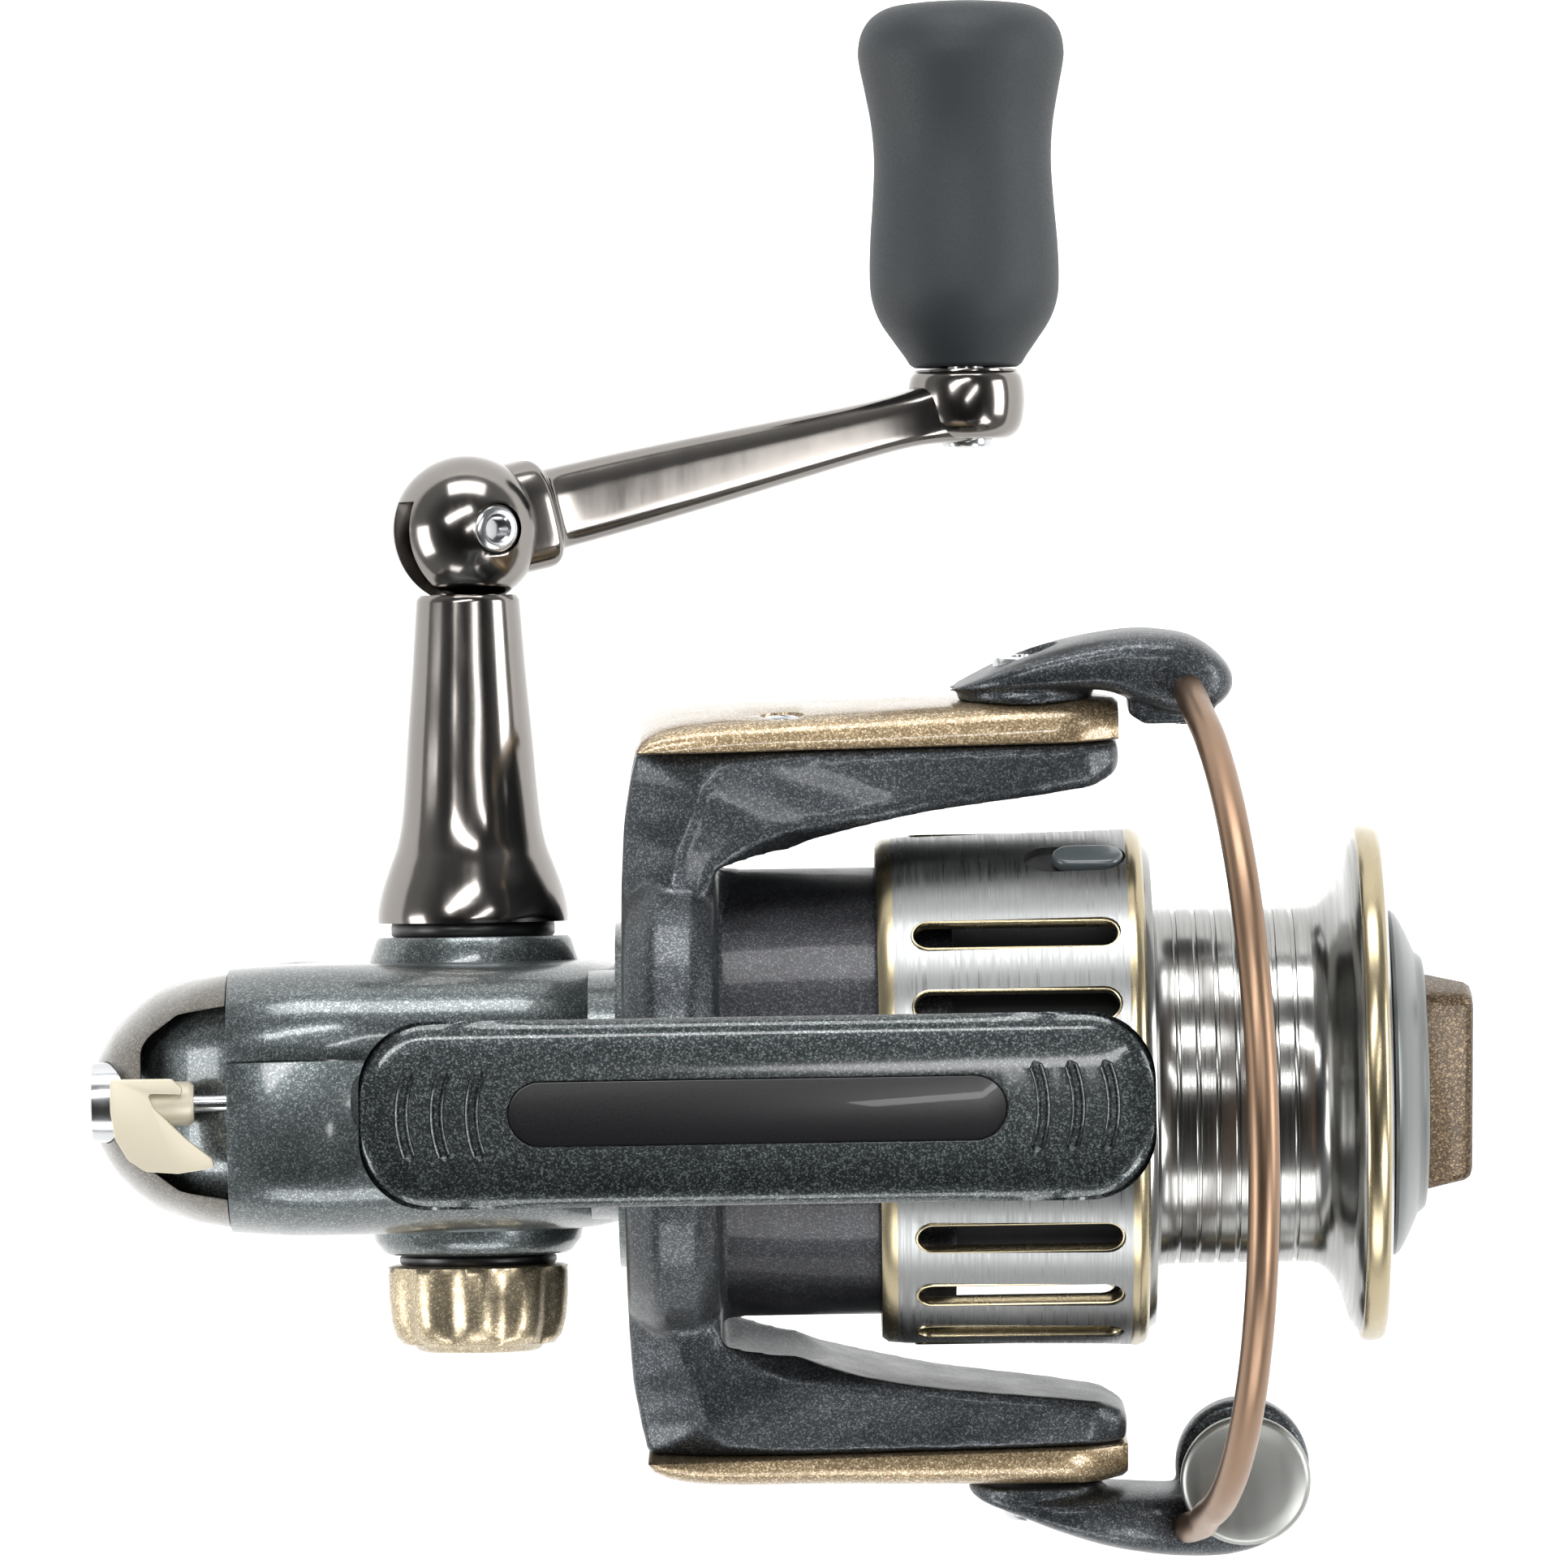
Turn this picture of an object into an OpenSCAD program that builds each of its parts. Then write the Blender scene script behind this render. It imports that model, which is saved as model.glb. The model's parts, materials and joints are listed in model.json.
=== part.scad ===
// Open-face spinning reel. Millimetres. The foot's seat is the plane z = 0, the spool points to +X
// and the crank is on the +Y side.

/* [Foot] */
// Length of the foot along the rod
foot_l = 58; // [54:0.5:62]
// Width of the foot
foot_w = 13.7; // [12:0.1:15]
// Height of the spool axis under the foot's seat
spool_drop = 58; // [56:0.5:62]

/* [Gearbox] */
// Half width of the gearbox
case_half = 10.4; // [10.2:0.1:10.8]
// Radius of the gearbox round the crank axis
case_r = 16; // [15.5:0.1:17]
// Radius of the rear end of the gearbox
rear_r = 18; // [17.5:0.1:18.5]

/* [Gears] */
// Teeth on the drive gear
drive_teeth = 36; // [36:1:36]
// Teeth on the pinion
pinion_teeth = 7; // [7:1:7]
// Pitch radius of the pinion
pinion_r = 3; // [2.9:0.05:3.1]
// Teeth on the oscillation gear
osc_teeth = 34; // [34:1:34]
// Teeth on the small pinion that drives it
osc_pinion_teeth = 15; // [15:1:15]

/* [Spool] */
// Travel of the spool along its shaft
stroke = 11.4; // [10:0.2:11.4]
// Radius of the spool lip
lip_r = 19.85; // [19:0.05:20]
// Radius of the arbor that holds the line
arbor_r = 13.7; // [13:0.1:14.5]
// Radius of the skirt at its front edge
skirt_r = 20; // [19.8:0.05:20.2]
// Slots round the skirt
skirt_slots = 20; // [16:1:22]

/* [Rotor] */
// Turn of the rotor as it is shown
rotor_turn = 6; // [0:1:90]
// Radius of the rotor cylinder inside the skirt
drum_r = 17.2; // [16.8:0.1:17.4]
// Radius of the bail wire's loop
bail_r = 32; // [31.5:0.1:32.5]

/* [Crank] */
// Turn of the crank as it is shown
crank_turn = 28; // [0:1:90]
// Radius of the crank, from its axis to the knob
crank_r = 44.4; // [40:0.2:50]
// Height of the ball over the spool axis
ball_y = 43.8; // [43:0.1:45]
// Radius of the ball
ball_r = 5.8; // [5.6:0.1:6]

/* [Hidden] */

// Axes
axis_z = -spool_drop;
gear_x = -22;
gear_z = axis_z - 7;
rear_x = -33.5;
rear_z = axis_z - 6.5;
tooth_m = 0.5;
osc_pinion_r = tooth_m * osc_pinion_teeth / 2;
osc_r = tooth_m * osc_teeth / 2;
osc_z = gear_z - 4;
osc_x = gear_x - sqrt(pow(osc_r + osc_pinion_r, 2) - pow(osc_z - gear_z, 2));
throw_r = stroke / 2;
slider_x = osc_x + throw_r;
bail_x = 20.9;
eye_y = ball_y + 9.7;
knob_y0 = eye_y + 3;
knob_l = 29;
lever_z = axis_z + 7.7;
shaft_r = 1.5;
neck_x = -0.8;
split_y = 3.2;
cut_x = -10.8;
roller_x = 37;
roller_y = -30.2;

// A solid of revolution about the spool axis, from points [radius, x]
module about_x(points, y = 0, z = axis_z) {
  translate([0, y, z]) rotate([0, 90, 0]) rotate_extrude($fn = 96) polygon(points);
}

// A tube or rod along X
module tube_x(r_out, r_in, x0, x1, y = 0, z = axis_z) {
  translate([x0, y, z]) rotate([0, 90, 0]) difference() {
    cylinder(r = r_out, h = x1 - x0, $fn = 64);
    if (r_in > 0) translate([0, 0, -1]) cylinder(r = r_in, h = x1 - x0 + 2, $fn = 64);
  }
}

// A solid of revolution about an axis along Y, from points [radius, y]
module about_y(points, x = gear_x, z = gear_z) {
  translate([x, 0, z]) rotate([-90, 0, 0]) rotate_extrude($fn = 96) polygon(points);
}

// A tube or rod along Y
module tube_y(r_out, r_in, y0, y1, x = gear_x, z = gear_z) {
  translate([x, y0, z]) rotate([-90, 0, 0]) difference() {
    cylinder(r = r_out, h = y1 - y0, $fn = 64);
    if (r_in > 0) translate([0, 0, -1]) cylinder(r = r_in, h = y1 - y0 + 2, $fn = 64);
  }
}

// A ring of balls about the local Z axis
module ball_ring(radius, ball, count) {
  for (i = [0:count - 1]) rotate([0, 0, 360 * i / count]) translate([radius, 0, 0]) sphere(r = ball, $fn = 24);
}

// Places its children in the rotor's own frame: x along the spool axis, y along the bail's axis
module in_rotor() {
  translate([0, 0, axis_z]) rotate([rotor_turn, 0, 0]) children();
}

// Places its children in the crank's frame: x out along the crank, z along the folding pin
module in_crank() {
  translate([gear_x, 0, gear_z]) rotate([0, crank_turn, 0]) children();
}

// A side outline [x, z] made into a plate from y0 to y1
module plate_xz(y0, y1) {
  translate([0, y1, 0]) rotate([90, 0, 0]) linear_extrude(height = y1 - y0) children();
}

// A plate outline [x, y] in the rotor's frame, from z0 to z1
module plate_xy(z0, z1) {
  translate([0, 0, z0]) linear_extrude(height = z1 - z0) children();
}

// A spur gear outline with straight-sided teeth
module spur_outline(teeth, pitch_r, half_tooth) {
  union() {
    circle(r = pitch_r - 0.62, $fn = 64);
    for (i = [0:teeth - 1]) rotate(360 * i / teeth)
      polygon([
        [pitch_r - 0.8, -half_tooth - 0.12], [pitch_r + 0.45, -half_tooth + 0.14],
        [pitch_r + 0.45, half_tooth - 0.14], [pitch_r - 0.8, half_tooth + 0.12]
      ]);
  }
}

// A coil spring along Z: a round wire swept round the helix, in rings of six points
module coil(coil_r, wire, height, turns) {
  steps = 10 * turns;
  sides = 6;
  points = [for (i = [0:steps], k = [0:sides - 1]) let (a = 36 * i, b = 60 * k, r = coil_r + wire * cos(b))
    [r * cos(a), r * sin(a), height * i / steps + wire * sin(b)]];
  skin = [for (i = [0:steps - 1], k = [0:sides - 1]) let (n = (k + 1) % sides)
    [i * sides + k, (i + 1) * sides + k, (i + 1) * sides + n, i * sides + n]];
  polyhedron(points, concat(skin, [[for (k = [0:sides - 1]) k]],
    [[for (k = [sides - 1:-1:0]) steps * sides + k]]));
}

// ---- frame ----

// Cross-section of a wheel-shaped end of the gearbox, radius r, half width w, as points [radius, y].
// Its edges are rounded over reach along the radius and over side across the width.
function wheel(r, w, reach, side) = concat(
  [[0, -w]],
  [for (a = [0:15:90]) [r - reach + reach * sin(a), -w + side - side * cos(a)]],
  [for (a = [90:-15:0]) [r - reach + reach * sin(a), w - side + side * cos(a)]],
  [[0, w]]
);

// The outer shape of the gearbox, with both halves, smaller all round by inset
module case_shape(inset = 0) {
  hull() {
    translate([gear_x, 0, gear_z]) rotate([-90, 0, 0])
      rotate_extrude($fn = 48) polygon(wheel(case_r - inset, case_half - inset, 8, 6));
    translate([rear_x, 0, rear_z]) rotate([-90, 0, 0])
      rotate_extrude($fn = 48) polygon(wheel(rear_r - inset, case_half - 0.4 - inset, 11, 7));
  }
}

// Half spaces used to split the gearbox
module front_cut() { translate([cut_x, -20, -100]) cube([30, 40, 80]); }
module cover_side() { translate([-60, split_y, -100]) cube([80, 20, 80]); }
module behind_cap() { translate([-60, -20, -100]) cube([60 - 40.7, 40, 80]); }

// Everything that turns or slides inside the gearbox needs this room
module case_room() {
  tube_y(12.2, 0, 2.2, 9);
  tube_y(9.3, 0, -7.4, 2.3, osc_x, osc_z);
  tube_y(4.6, 0, -7.6, 2.3);
  translate([-42.6, -4.7, axis_z - 3]) cube([23, 7, 8.4]);
  translate([slider_x - stroke - 2.5, -4.7, osc_z - throw_r - 2.8]) cube([stroke + 5, 7, 20]);
  tube_x(4.1, 0, -17.4, -9.4);
  tube_x(3.6, 0, -24, -19.8);
}

// The stem's side outline, which leans forward to the foot
module stem_outline() {
  polygon([
    [-33, -50], [-30, -44], [-25.5, -36], [-22, -26], [-19.5, -15], [-18.5, -8], [-21, -1.5], [12, -1.5],
    [7, -5], [0.5, -10], [-5, -17], [-9.5, -26], [-11.6, -34], [-11.6, -52], [-20, -56]
  ]);
}

// The foot: a crowned bar with round corners and a flat seat
module foot_shape() {
  corner = 5;
  hull() for (x = [-1, 1], y = [-1, 1]) translate([x * (foot_l / 2 - corner), y * (foot_w / 2 - corner), 0]) {
    translate([0, 0, -1.9]) cylinder(r = corner, h = 0.9, $fn = 32);
    translate([0, 0, -0.5]) cylinder(r = corner - 1.2, h = 0.5, $fn = 32);
  }
  hull() {
    translate([-20, -5.2, -2]) cube([42, 10.4, 0.5]);
    translate([-17, -3.2, -4.2]) cube([32, 6.4, 0.5]);
  }
}

// Length and width of the inlay in the foot
label_l = 36.5;
label_w = 4.9;
module stadium(l, w) {
  union() {
    square([l - w, w], center = true);
    for (s = [-1, 1]) translate([s * (l - w) / 2, 0]) circle(r = w / 2, $fn = 48);
  }
}

// Three curved grip grooves near an end of the foot
module grip_grooves(side) {
  for (i = [0:2]) translate([side * (18.2 + 2.7 * i) + side * 8.2, 0, -0.25]) rotate([0, 0, side > 0 ? 156 : -24])
    rotate_extrude(angle = 48, $fn = 96) translate([8, 0]) square([0.55, 0.6]);
}

// Where the cover's screws stand: x, z and the y of the screw's tip
cover_screw_places = [[-37.2, -80, -2.9], [-13.4, -76.6, -2.9], [-34.5, -49.6, 1.1]];

module neck() {
  tube_x(13.3, 0, -10.95, neck_x);
  tube_x(9.9, 0, -12.2, -10.9);
}

module housing() {
  color([0.24, 0.27, 0.28]) difference() {
    union() {
      difference() {
        case_shape();
        front_cut();
        cover_side();
        behind_cap();
      }
      difference() {
        intersection() {
          case_shape(1.65);
          behind_cap();
        }
        cover_side();
      }
      neck();
      plate_xz(-3.2, split_y - 0.05) stem_outline();
      foot_shape();
      tube_y(7.85, 0, -12.3, -9.5);
    }
    translate([-60, split_y, -100]) cube([60 + cut_x - 0.5, 20, 60]);
    case_room();
    tube_x(6, 0, -9.6, -6.6);
    tube_x(8.4, 0, -6.7, -1.8);
    tube_x(9.6, 0, -1.9, 0);
    tube_x(2.9, 0, -19.6, -17);
    tube_y(5.5, 0, -10.6, -7);
    tube_y(3.3, 0, -13, -7);
    tube_x(0.9, 0, -43.8, -24, -3.2, axis_z + 3.6);
    tube_x(0.75, 0, -50, -8, 0, lever_z);
    translate([0, 0, -0.8]) linear_extrude(height = 1) stadium(label_l, label_w);
    grip_grooves(1);
    grip_grooves(-1);
    tube_x(2.1, 0, -50, -42.9, 0, lever_z);
    for (p = cover_screw_places) tube_y(0.8, 0, p[2] - 0.1, split_y + 1, p[0], p[1]);
  }
}

module foot_label() {
  color([0.03, 0.03, 0.035]) translate([0, 0, -0.8]) linear_extrude(height = 0.8) stadium(label_l - 0.1, label_w - 0.1);
}

module side_cover() {
  color([0.24, 0.27, 0.28]) difference() {
    union() {
      intersection() {
        difference() {
          case_shape();
          front_cut();
          behind_cap();
        }
        translate([-60, split_y, -100]) cube([80, 20, 80]);
      }
      intersection() {
        case_shape(1.65);
        behind_cap();
        translate([-60, split_y, -100]) cube([80, 20, 80]);
      }
      about_y([[0, 9], [8.6, 9], [8.6, 10.3], [7.85, 10.6], [7.85, 11.9], [7.4, 12.3], [0, 12.3]]);
    }
    neck();
    case_room();
    tube_y(5.5, 0, 7.6, 10.6);
    tube_y(3.3, 0, 7, 13);
    for (p = cover_screw_places) {
      tube_y(0.85, 0, 3, 20, p[0], p[1]);
      tube_y(1.5, 0, 5.28, 20, p[0], p[1]);
    }
  }
}

module cover_screws() {
  color([0.7, 0.7, 0.7]) for (p = cover_screw_places) {
    tube_y(0.75, 0, p[2], 5.4, p[0], p[1]);
    tube_y(1.4, 0, 5.3, 6.1, p[0], p[1]);
  }
}

module rear_cap() {
  color([0.45, 0.38, 0.28]) difference() {
    intersection() {
      case_shape();
      translate([-60, -20, -100]) cube([60 - 40.8, 40, 80]);
    }
    case_shape(1.6);
    hull() {
      translate([-39, -7.3, lever_z - 6]) cube([1, 14.6, 20]);
      translate([-43, 0, lever_z - 6]) cylinder(r = 4.6, h = 20, $fn = 32);
    }
    tube_x(3.1, 0, -60, -45);
    case_room();
  }
}

module rear_eyelet() {
  color([0.75, 0.75, 0.75]) tube_x(3.05, 2.3, -51.3, -50);
}

module crank_bearing_cups() {
  color([0.75, 0.76, 0.78]) for (y = [-10.5, 7.7]) {
    tube_y(5.5, 4.95, y, y + 2.8);
    translate([gear_x, y + 1.4, gear_z]) rotate([90, 0, 0]) ball_ring(4.3, 0.6, 7);
  }
}

module crank_bearing_cones() {
  color([0.8, 0.8, 0.82]) for (y = [-10.5, 7.7]) tube_y(3.65, 3, y, y + 2.8);
}

module pinion_bearing_cup() {
  color([0.75, 0.76, 0.78]) {
    tube_x(6, 5.45, -9.5, -6.7);
    translate([-8.1, 0, axis_z]) rotate([0, 90, 0]) ball_ring(4.6, 0.8, 7);
  }
}

module pinion_bearing_cone() {
  color([0.8, 0.8, 0.82]) tube_x(3.75, 3, -9.5, -6.7);
}

module pinion_bush() {
  color([0.7, 0.55, 0.3]) tube_x(2.9, 2.26, -19.5, -17.5);
}

module one_way_clutch() {
  color([0.35, 0.36, 0.38]) {
    tube_x(8.4, 6.4, -6.5, -1.9);
    for (i = [0:5]) translate([-6, 0, axis_z]) rotate([60 * i, 0, 0]) translate([0, 5.45, 0]) rotate([0, 90, 0])
      cylinder(r = 0.95, h = 3.8, $fn = 24);
  }
}

module clutch_retainer() {
  color([0.6, 0.6, 0.62]) tube_x(9.5, 5, -1.8, -0.9);
}

module guide_rod() {
  color([0.8, 0.8, 0.82]) tube_x(0.9, 0, -43.6, -24.1, -3.2, axis_z + 3.6);
}

// ---- gear train ----

ring_in = 9.8;
ring_out = 11.8;
tooth_offset = -1.015;

module drive_gear() {
  color([0.62, 0.52, 0.32]) difference() {
    union() {
      tube_y(ring_out, 0, 3.75, 5.4);
      tube_y(4.6, 0, 4, 7.5);
      intersection() {
        tube_y(ring_out, ring_in, 2.5, 3.8);
        for (i = [0:drive_teeth - 1]) translate([gear_x, 0, gear_z])
          rotate([0, 360 * i / drive_teeth + 8.5, 0]) translate([8, 2.5, tooth_offset]) drive_tooth();
      }
    }
    tube_y(3, 0, -5, 20);
    for (i = [0:5]) translate([gear_x, 0, gear_z]) rotate([0, 60 * i, 0]) translate([7.2, 0, 0])
      rotate([-90, 0, 0]) cylinder(r = 1.2, h = 10, $fn = 32);
  }
}

// One straight tooth of the face gear, narrower at its tip
module drive_tooth() {
  tip = 0.24;
  root = 0.42;
  rotate([90, 0, 90]) linear_extrude(height = 5)
    polygon([[0, -tip], [1.3, -root], [1.3, root], [0, tip]]);
}

module gear_shaft() {
  color([0.66, 0.66, 0.68]) difference() {
    union() {
      tube_y(3, 0, -12.2, 12.2);
      translate([gear_x, -7.2, gear_z]) rotate([-90, 0, 0]) linear_extrude(height = 2.2)
        spur_outline(osc_pinion_teeth, osc_pinion_r, 0.3);
    }
    translate([gear_x, -13, gear_z]) rotate([-90, 0, 0]) cylinder(r = 2.15, h = 26, $fn = 6);
  }
}

module handle_shaft() {
  tongue = 1.2;
  color([0.55, 0.55, 0.57]) difference() {
    union() {
      translate([gear_x, -13.1, gear_z]) rotate([-90, 0, 0]) cylinder(r = 2.1, h = 45.7, $fn = 6);
      tube_y(1.6, 0, -18.6, -13);
      tube_y(2.4, 0, 32, 37.6);
      in_crank() translate([-2.1, 37, -tongue]) cube([4.2, ball_y - 37, 2 * tongue]);
      in_crank() translate([0, ball_y, -tongue]) cylinder(r = 2.1, h = 2 * tongue, $fn = 48);
    }
    in_crank() translate([0, ball_y, -5]) cylinder(r = 1.2, h = 10, $fn = 48);
  }
}

module handle_sleeve() {
  color([0.42, 0.4, 0.38]) difference() {
    about_y([
      [2.5, 13.4], [7.4, 13.4], [7.35, 14.3], [6.95, 16.4], [6.15, 18.5], [5.45, 21], [5.1, 24], [4.6, 30],
      [4.05, 38.4], [3.8, 39.2], [2.5, 39.2]
    ]);
    translate([gear_x, ball_y, gear_z]) sphere(r = ball_r + 0.12, $fn = 64);
  }
}

module handle_seal() {
  color([0.06, 0.06, 0.07]) tube_y(6.3, 3.4, 12.35, 13.35);
}

module screw_cap() {
  color([0.62, 0.54, 0.38]) difference() {
    about_y([
      [0, -13.15], [7.1, -13.15], [7.15, -14], [7, -16], [6.6, -18], [5.6, -19.4], [4, -19.9], [0, -19.9]
    ]);
    tube_y(1.65, 0, -18.7, -13);
    for (i = [0:11]) translate([gear_x, 0, gear_z]) rotate([0, 30 * i, 0]) translate([8.6, -22, 0])
      rotate([-90, 0, 0]) cylinder(r = 1.9, h = 7, $fn = 32);
  }
}

module cap_seal() {
  color([0.06, 0.06, 0.07]) tube_y(6, 3.4, -13.1, -12.35);
}

module oscillation_gear() {
  color([0.72, 0.72, 0.74]) {
    translate([osc_x, -7.2, osc_z]) rotate([-90, 0, 0]) linear_extrude(height = 2.2)
      rotate(osc_phase) spur_outline(osc_teeth, osc_r, 0.3);
    tube_y(1.1, 0, -5.1, -4.5, slider_x, osc_z);
  }
}

// The oscillation gear is turned so that one of its gaps faces a tooth of its pinion
osc_line = atan2(osc_z - gear_z, osc_x - gear_x);
osc_phase = -osc_line * (1 + osc_pinion_teeth / osc_teeth) - 180 / osc_teeth;

// ---- crank ----

module crank_arm() {
  slope = atan2(eye_y - ball_y, crank_r);
  color([0.42, 0.4, 0.38]) in_crank() difference() {
    union() {
      translate([0, ball_y, 0]) sphere(r = ball_r, $fn = 64);
      translate([0, ball_y, 0]) rotate([0, 90, slope]) translate([0, 0, 4]) linear_extrude(height = 2)
        circle(r = 4.2, $fn = 48);
      hull() {
        translate([0, ball_y, 0]) rotate([0, 0, slope]) translate([5, -3.1, -2.5]) cube([1, 6.2, 5]);
        translate([0, ball_y, 0]) rotate([0, 0, slope]) translate([41, -2, -2]) cube([1, 4, 4]);
      }
      translate([crank_r, eye_y - 2.7, 0]) rotate([-90, 0, 0]) cylinder(r = 4.4, h = 5.4, $fn = 64);
    }
    translate([-8, ball_y - 8, -1.3]) cube([8, 10.2, 2.6]);
    translate([-2.4, ball_y - 8, -1.3]) cube([4.8, 8, 2.6]);
    translate([0, ball_y, -1.3]) cylinder(r = 2.2, h = 2.6, $fn = 48);
    translate([0, ball_y, -10]) cylinder(r = 1.15, h = 20, $fn = 48);
    translate([0, ball_y, 4.2]) cylinder(r = 1.95, h = 10, $fn = 48);
    translate([crank_r, 0, 0]) rotate([-90, 0, 0]) cylinder(r = 1.5, h = 70, $fn = 48);
  }
}

module hinge_screw() {
  color([0.55, 0.55, 0.57]) in_crank() translate([0, ball_y, 0]) difference() {
    union() {
      translate([0, 0, -4.6]) cylinder(r = 1.15, h = 9, $fn = 48);
      translate([0, 0, 4.2]) cylinder(r = 1.9, h = 1.1, $fn = 48);
    }
    translate([0, 0, 4.5]) cylinder(r = 1, h = 2, $fn = 6);
  }
}

module knob_spindle() {
  color([0.7, 0.7, 0.72]) in_crank() translate([crank_r, 0, 0]) rotate([-90, 0, 0]) {
    translate([0, 0, eye_y - 3.2]) cylinder(r = 2.1, h = 0.5, $fn = 48);
    translate([0, 0, eye_y - 2.8]) cylinder(r = 1.5, h = 25, $fn = 48);
  }
}

// Outline of the grip as points [radius, height over its base]
grip_outline = [
  [4.5, 0], [5, 1], [6.9, 3.6], [7.45, 6.1], [7.4, 10], [7.05, 15.2], [7.4, 19.7], [8.15, 24.5], [7.7, 26.8],
  [5.5, 28.4]
];
module knob_grip() {
  color([0.2, 0.24, 0.27]) in_crank() translate([crank_r, knob_y0, 0]) rotate([-90, 0, 0]) difference() {
    rotate_extrude($fn = 96) polygon(concat([[0, 0]], grip_outline, [[3.2, 29], [0, 29]]));
    translate([0, 0, -1]) cylinder(r = 2.5, h = 24, $fn = 48);
    translate([0, 0, 27]) cylinder(r = 3, h = 3, $fn = 48);
  }
}

module knob_bushes() {
  color([0.8, 0.78, 0.7]) in_crank() translate([crank_r, knob_y0, 0]) rotate([-90, 0, 0])
    for (h = [0.2, 16]) translate([0, 0, h]) difference() {
      cylinder(r = 2.45, h = 3.5, $fn = 48);
      translate([0, 0, -1]) cylinder(r = 1.55, h = 6, $fn = 48);
    }
}

module knob_cap() {
  color([0.2, 0.24, 0.27]) in_crank() translate([crank_r, knob_y0 + 27, 0]) rotate([-90, 0, 0])
    cylinder(r = 2.95, h = 2, $fn = 48);
}

// ---- rotor ----

arm_z0 = 8.5;
cover_y = 27.2;

// Outline [x, y] of one rotor arm on its web, without the cover
module arm_outline() {
  polygon([
    [-10.3, 11], [-10.3, 20], [-8.9, cover_y], [28, cover_y], [28.2, 25], [26.5, 23.9], [22, 23.2], [16.4, 22.6],
    [10.7, 21.8], [5.5, 20.6], [1, 18.4], [-1.8, 15], [-3.1, 11]
  ]);
}

// Side outline [x, z] of a rotor arm, wide at the cup and narrow at the bail's pivot
module arm_side(grow = 0) {
  polygon([
    [-10.3 - grow, -arm_z0 - grow], [4, -arm_z0 + 0.4 - grow], [16, -6.8 - grow], [24, -5.9 - grow],
    [27.2 + grow, -3.6 - grow], [28.3 + grow, 0], [27.2 + grow, 3.6 + grow], [24, 5.9 + grow], [16, 6.8 + grow],
    [4, arm_z0 - 0.4 + grow], [-10.3 - grow, arm_z0 + grow]
  ]);
}

module rotor_arm(side) {
  mirror([0, side < 0 ? 1 : 0, 0]) difference() {
    intersection() {
      translate([0, 0, -12]) linear_extrude(height = 24) arm_outline();
      translate([0, 40, 0]) rotate([90, 0, 0]) linear_extrude(height = 40) arm_side();
    }
    translate([bail_x, 20, 0]) rotate([-90, 0, 0]) cylinder(r = 1.65, h = 12, $fn = 48);
  }
}

module rotor() {
  color([0.2, 0.22, 0.23]) in_rotor() difference() {
    union() {
      difference() {
        union() {
          translate([-10.3, 0, 0]) rotate([0, 90, 0]) cylinder(r = 19.6, h = 7.2, $fn = 96);
          rotor_arm(1);
          rotor_arm(-1);
        }
        translate([-3.1, 0, 0]) rotate([0, 90, 0]) cylinder(r = skirt_r + 0.45, h = 35, $fn = 96);
      }
      translate([-4, 0, 0]) rotate([0, 90, 0]) cylinder(r = drum_r, h = 19, $fn = 96);
    }
    translate([-11, 0, 0]) rotate([0, 90, 0]) cylinder(r = 14.4, h = 11, $fn = 96);
    translate([2.2, 0, 0]) rotate([0, 90, 0]) cylinder(r = 15.6, h = 14, $fn = 96);
    translate([-1, 0, 0]) rotate([0, 90, 0]) cylinder(r = 3.03, h = 4, $fn = 64);
    translate([-11, 25.2, 0]) rotate([0, 90, 0]) cylinder(r = 0.8, h = 26, $fn = 32);
    translate([-2, -28, -2.6]) cube([16, 3.75, 5.2]);
    for (s = [-1, 1]) translate([2.2, s * 30, 5 * s]) rotate([s * 90, 0, 0]) cylinder(r = 0.8, h = 6, $fn = 32);
  }
}

// A cover plate over the outside of an arm, crowned at its rear end
module arm_cover(side) {
  color([0.5, 0.42, 0.32]) in_rotor() mirror([0, side < 0 ? 1 : 0, 0]) difference() {
    intersection() {
      translate([0, 0, -12]) linear_extrude(height = 24) polygon([
        [-8.8, cover_y], [-7, 28.6], [-4, 29.5], [2, 29.8], [14, 30.2], [27.8, 30.6], [28, cover_y]
      ]);
      translate([0, 40, 0]) rotate([90, 0, 0]) linear_extrude(height = 20) arm_side();
    }
    translate([bail_x, 20, 0]) rotate([-90, 0, 0]) cylinder(r = 2.5, h = 12, $fn = 48);
    translate([2.2, 20, 5 * side]) rotate([-90, 0, 0]) cylinder(r = 0.85, h = 12, $fn = 32);
    translate([2.2, 28.6, 5 * side]) rotate([-90, 0, 0]) cylinder(r = 1.6, h = 4, $fn = 32);
  }
}
module arm_cover_left() { arm_cover(1); }
module arm_cover_right() { arm_cover(-1); }

module arm_cover_screws() {
  color([0.7, 0.7, 0.7]) in_rotor() for (s = [-1, 1]) mirror([0, s < 0 ? 1 : 0, 0]) translate([2.2, 0, 5 * s]) {
    translate([0, 24.6, 0]) rotate([-90, 0, 0]) cylinder(r = 0.78, h = 4.1, $fn = 32);
    translate([0, 28.65, 0]) rotate([-90, 0, 0]) difference() {
      cylinder(r = 1.5, h = 0.9, $fn = 32);
      translate([-0.2, -2, 0.5]) cube([0.4, 4, 1]);
    }
  }
}

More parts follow.
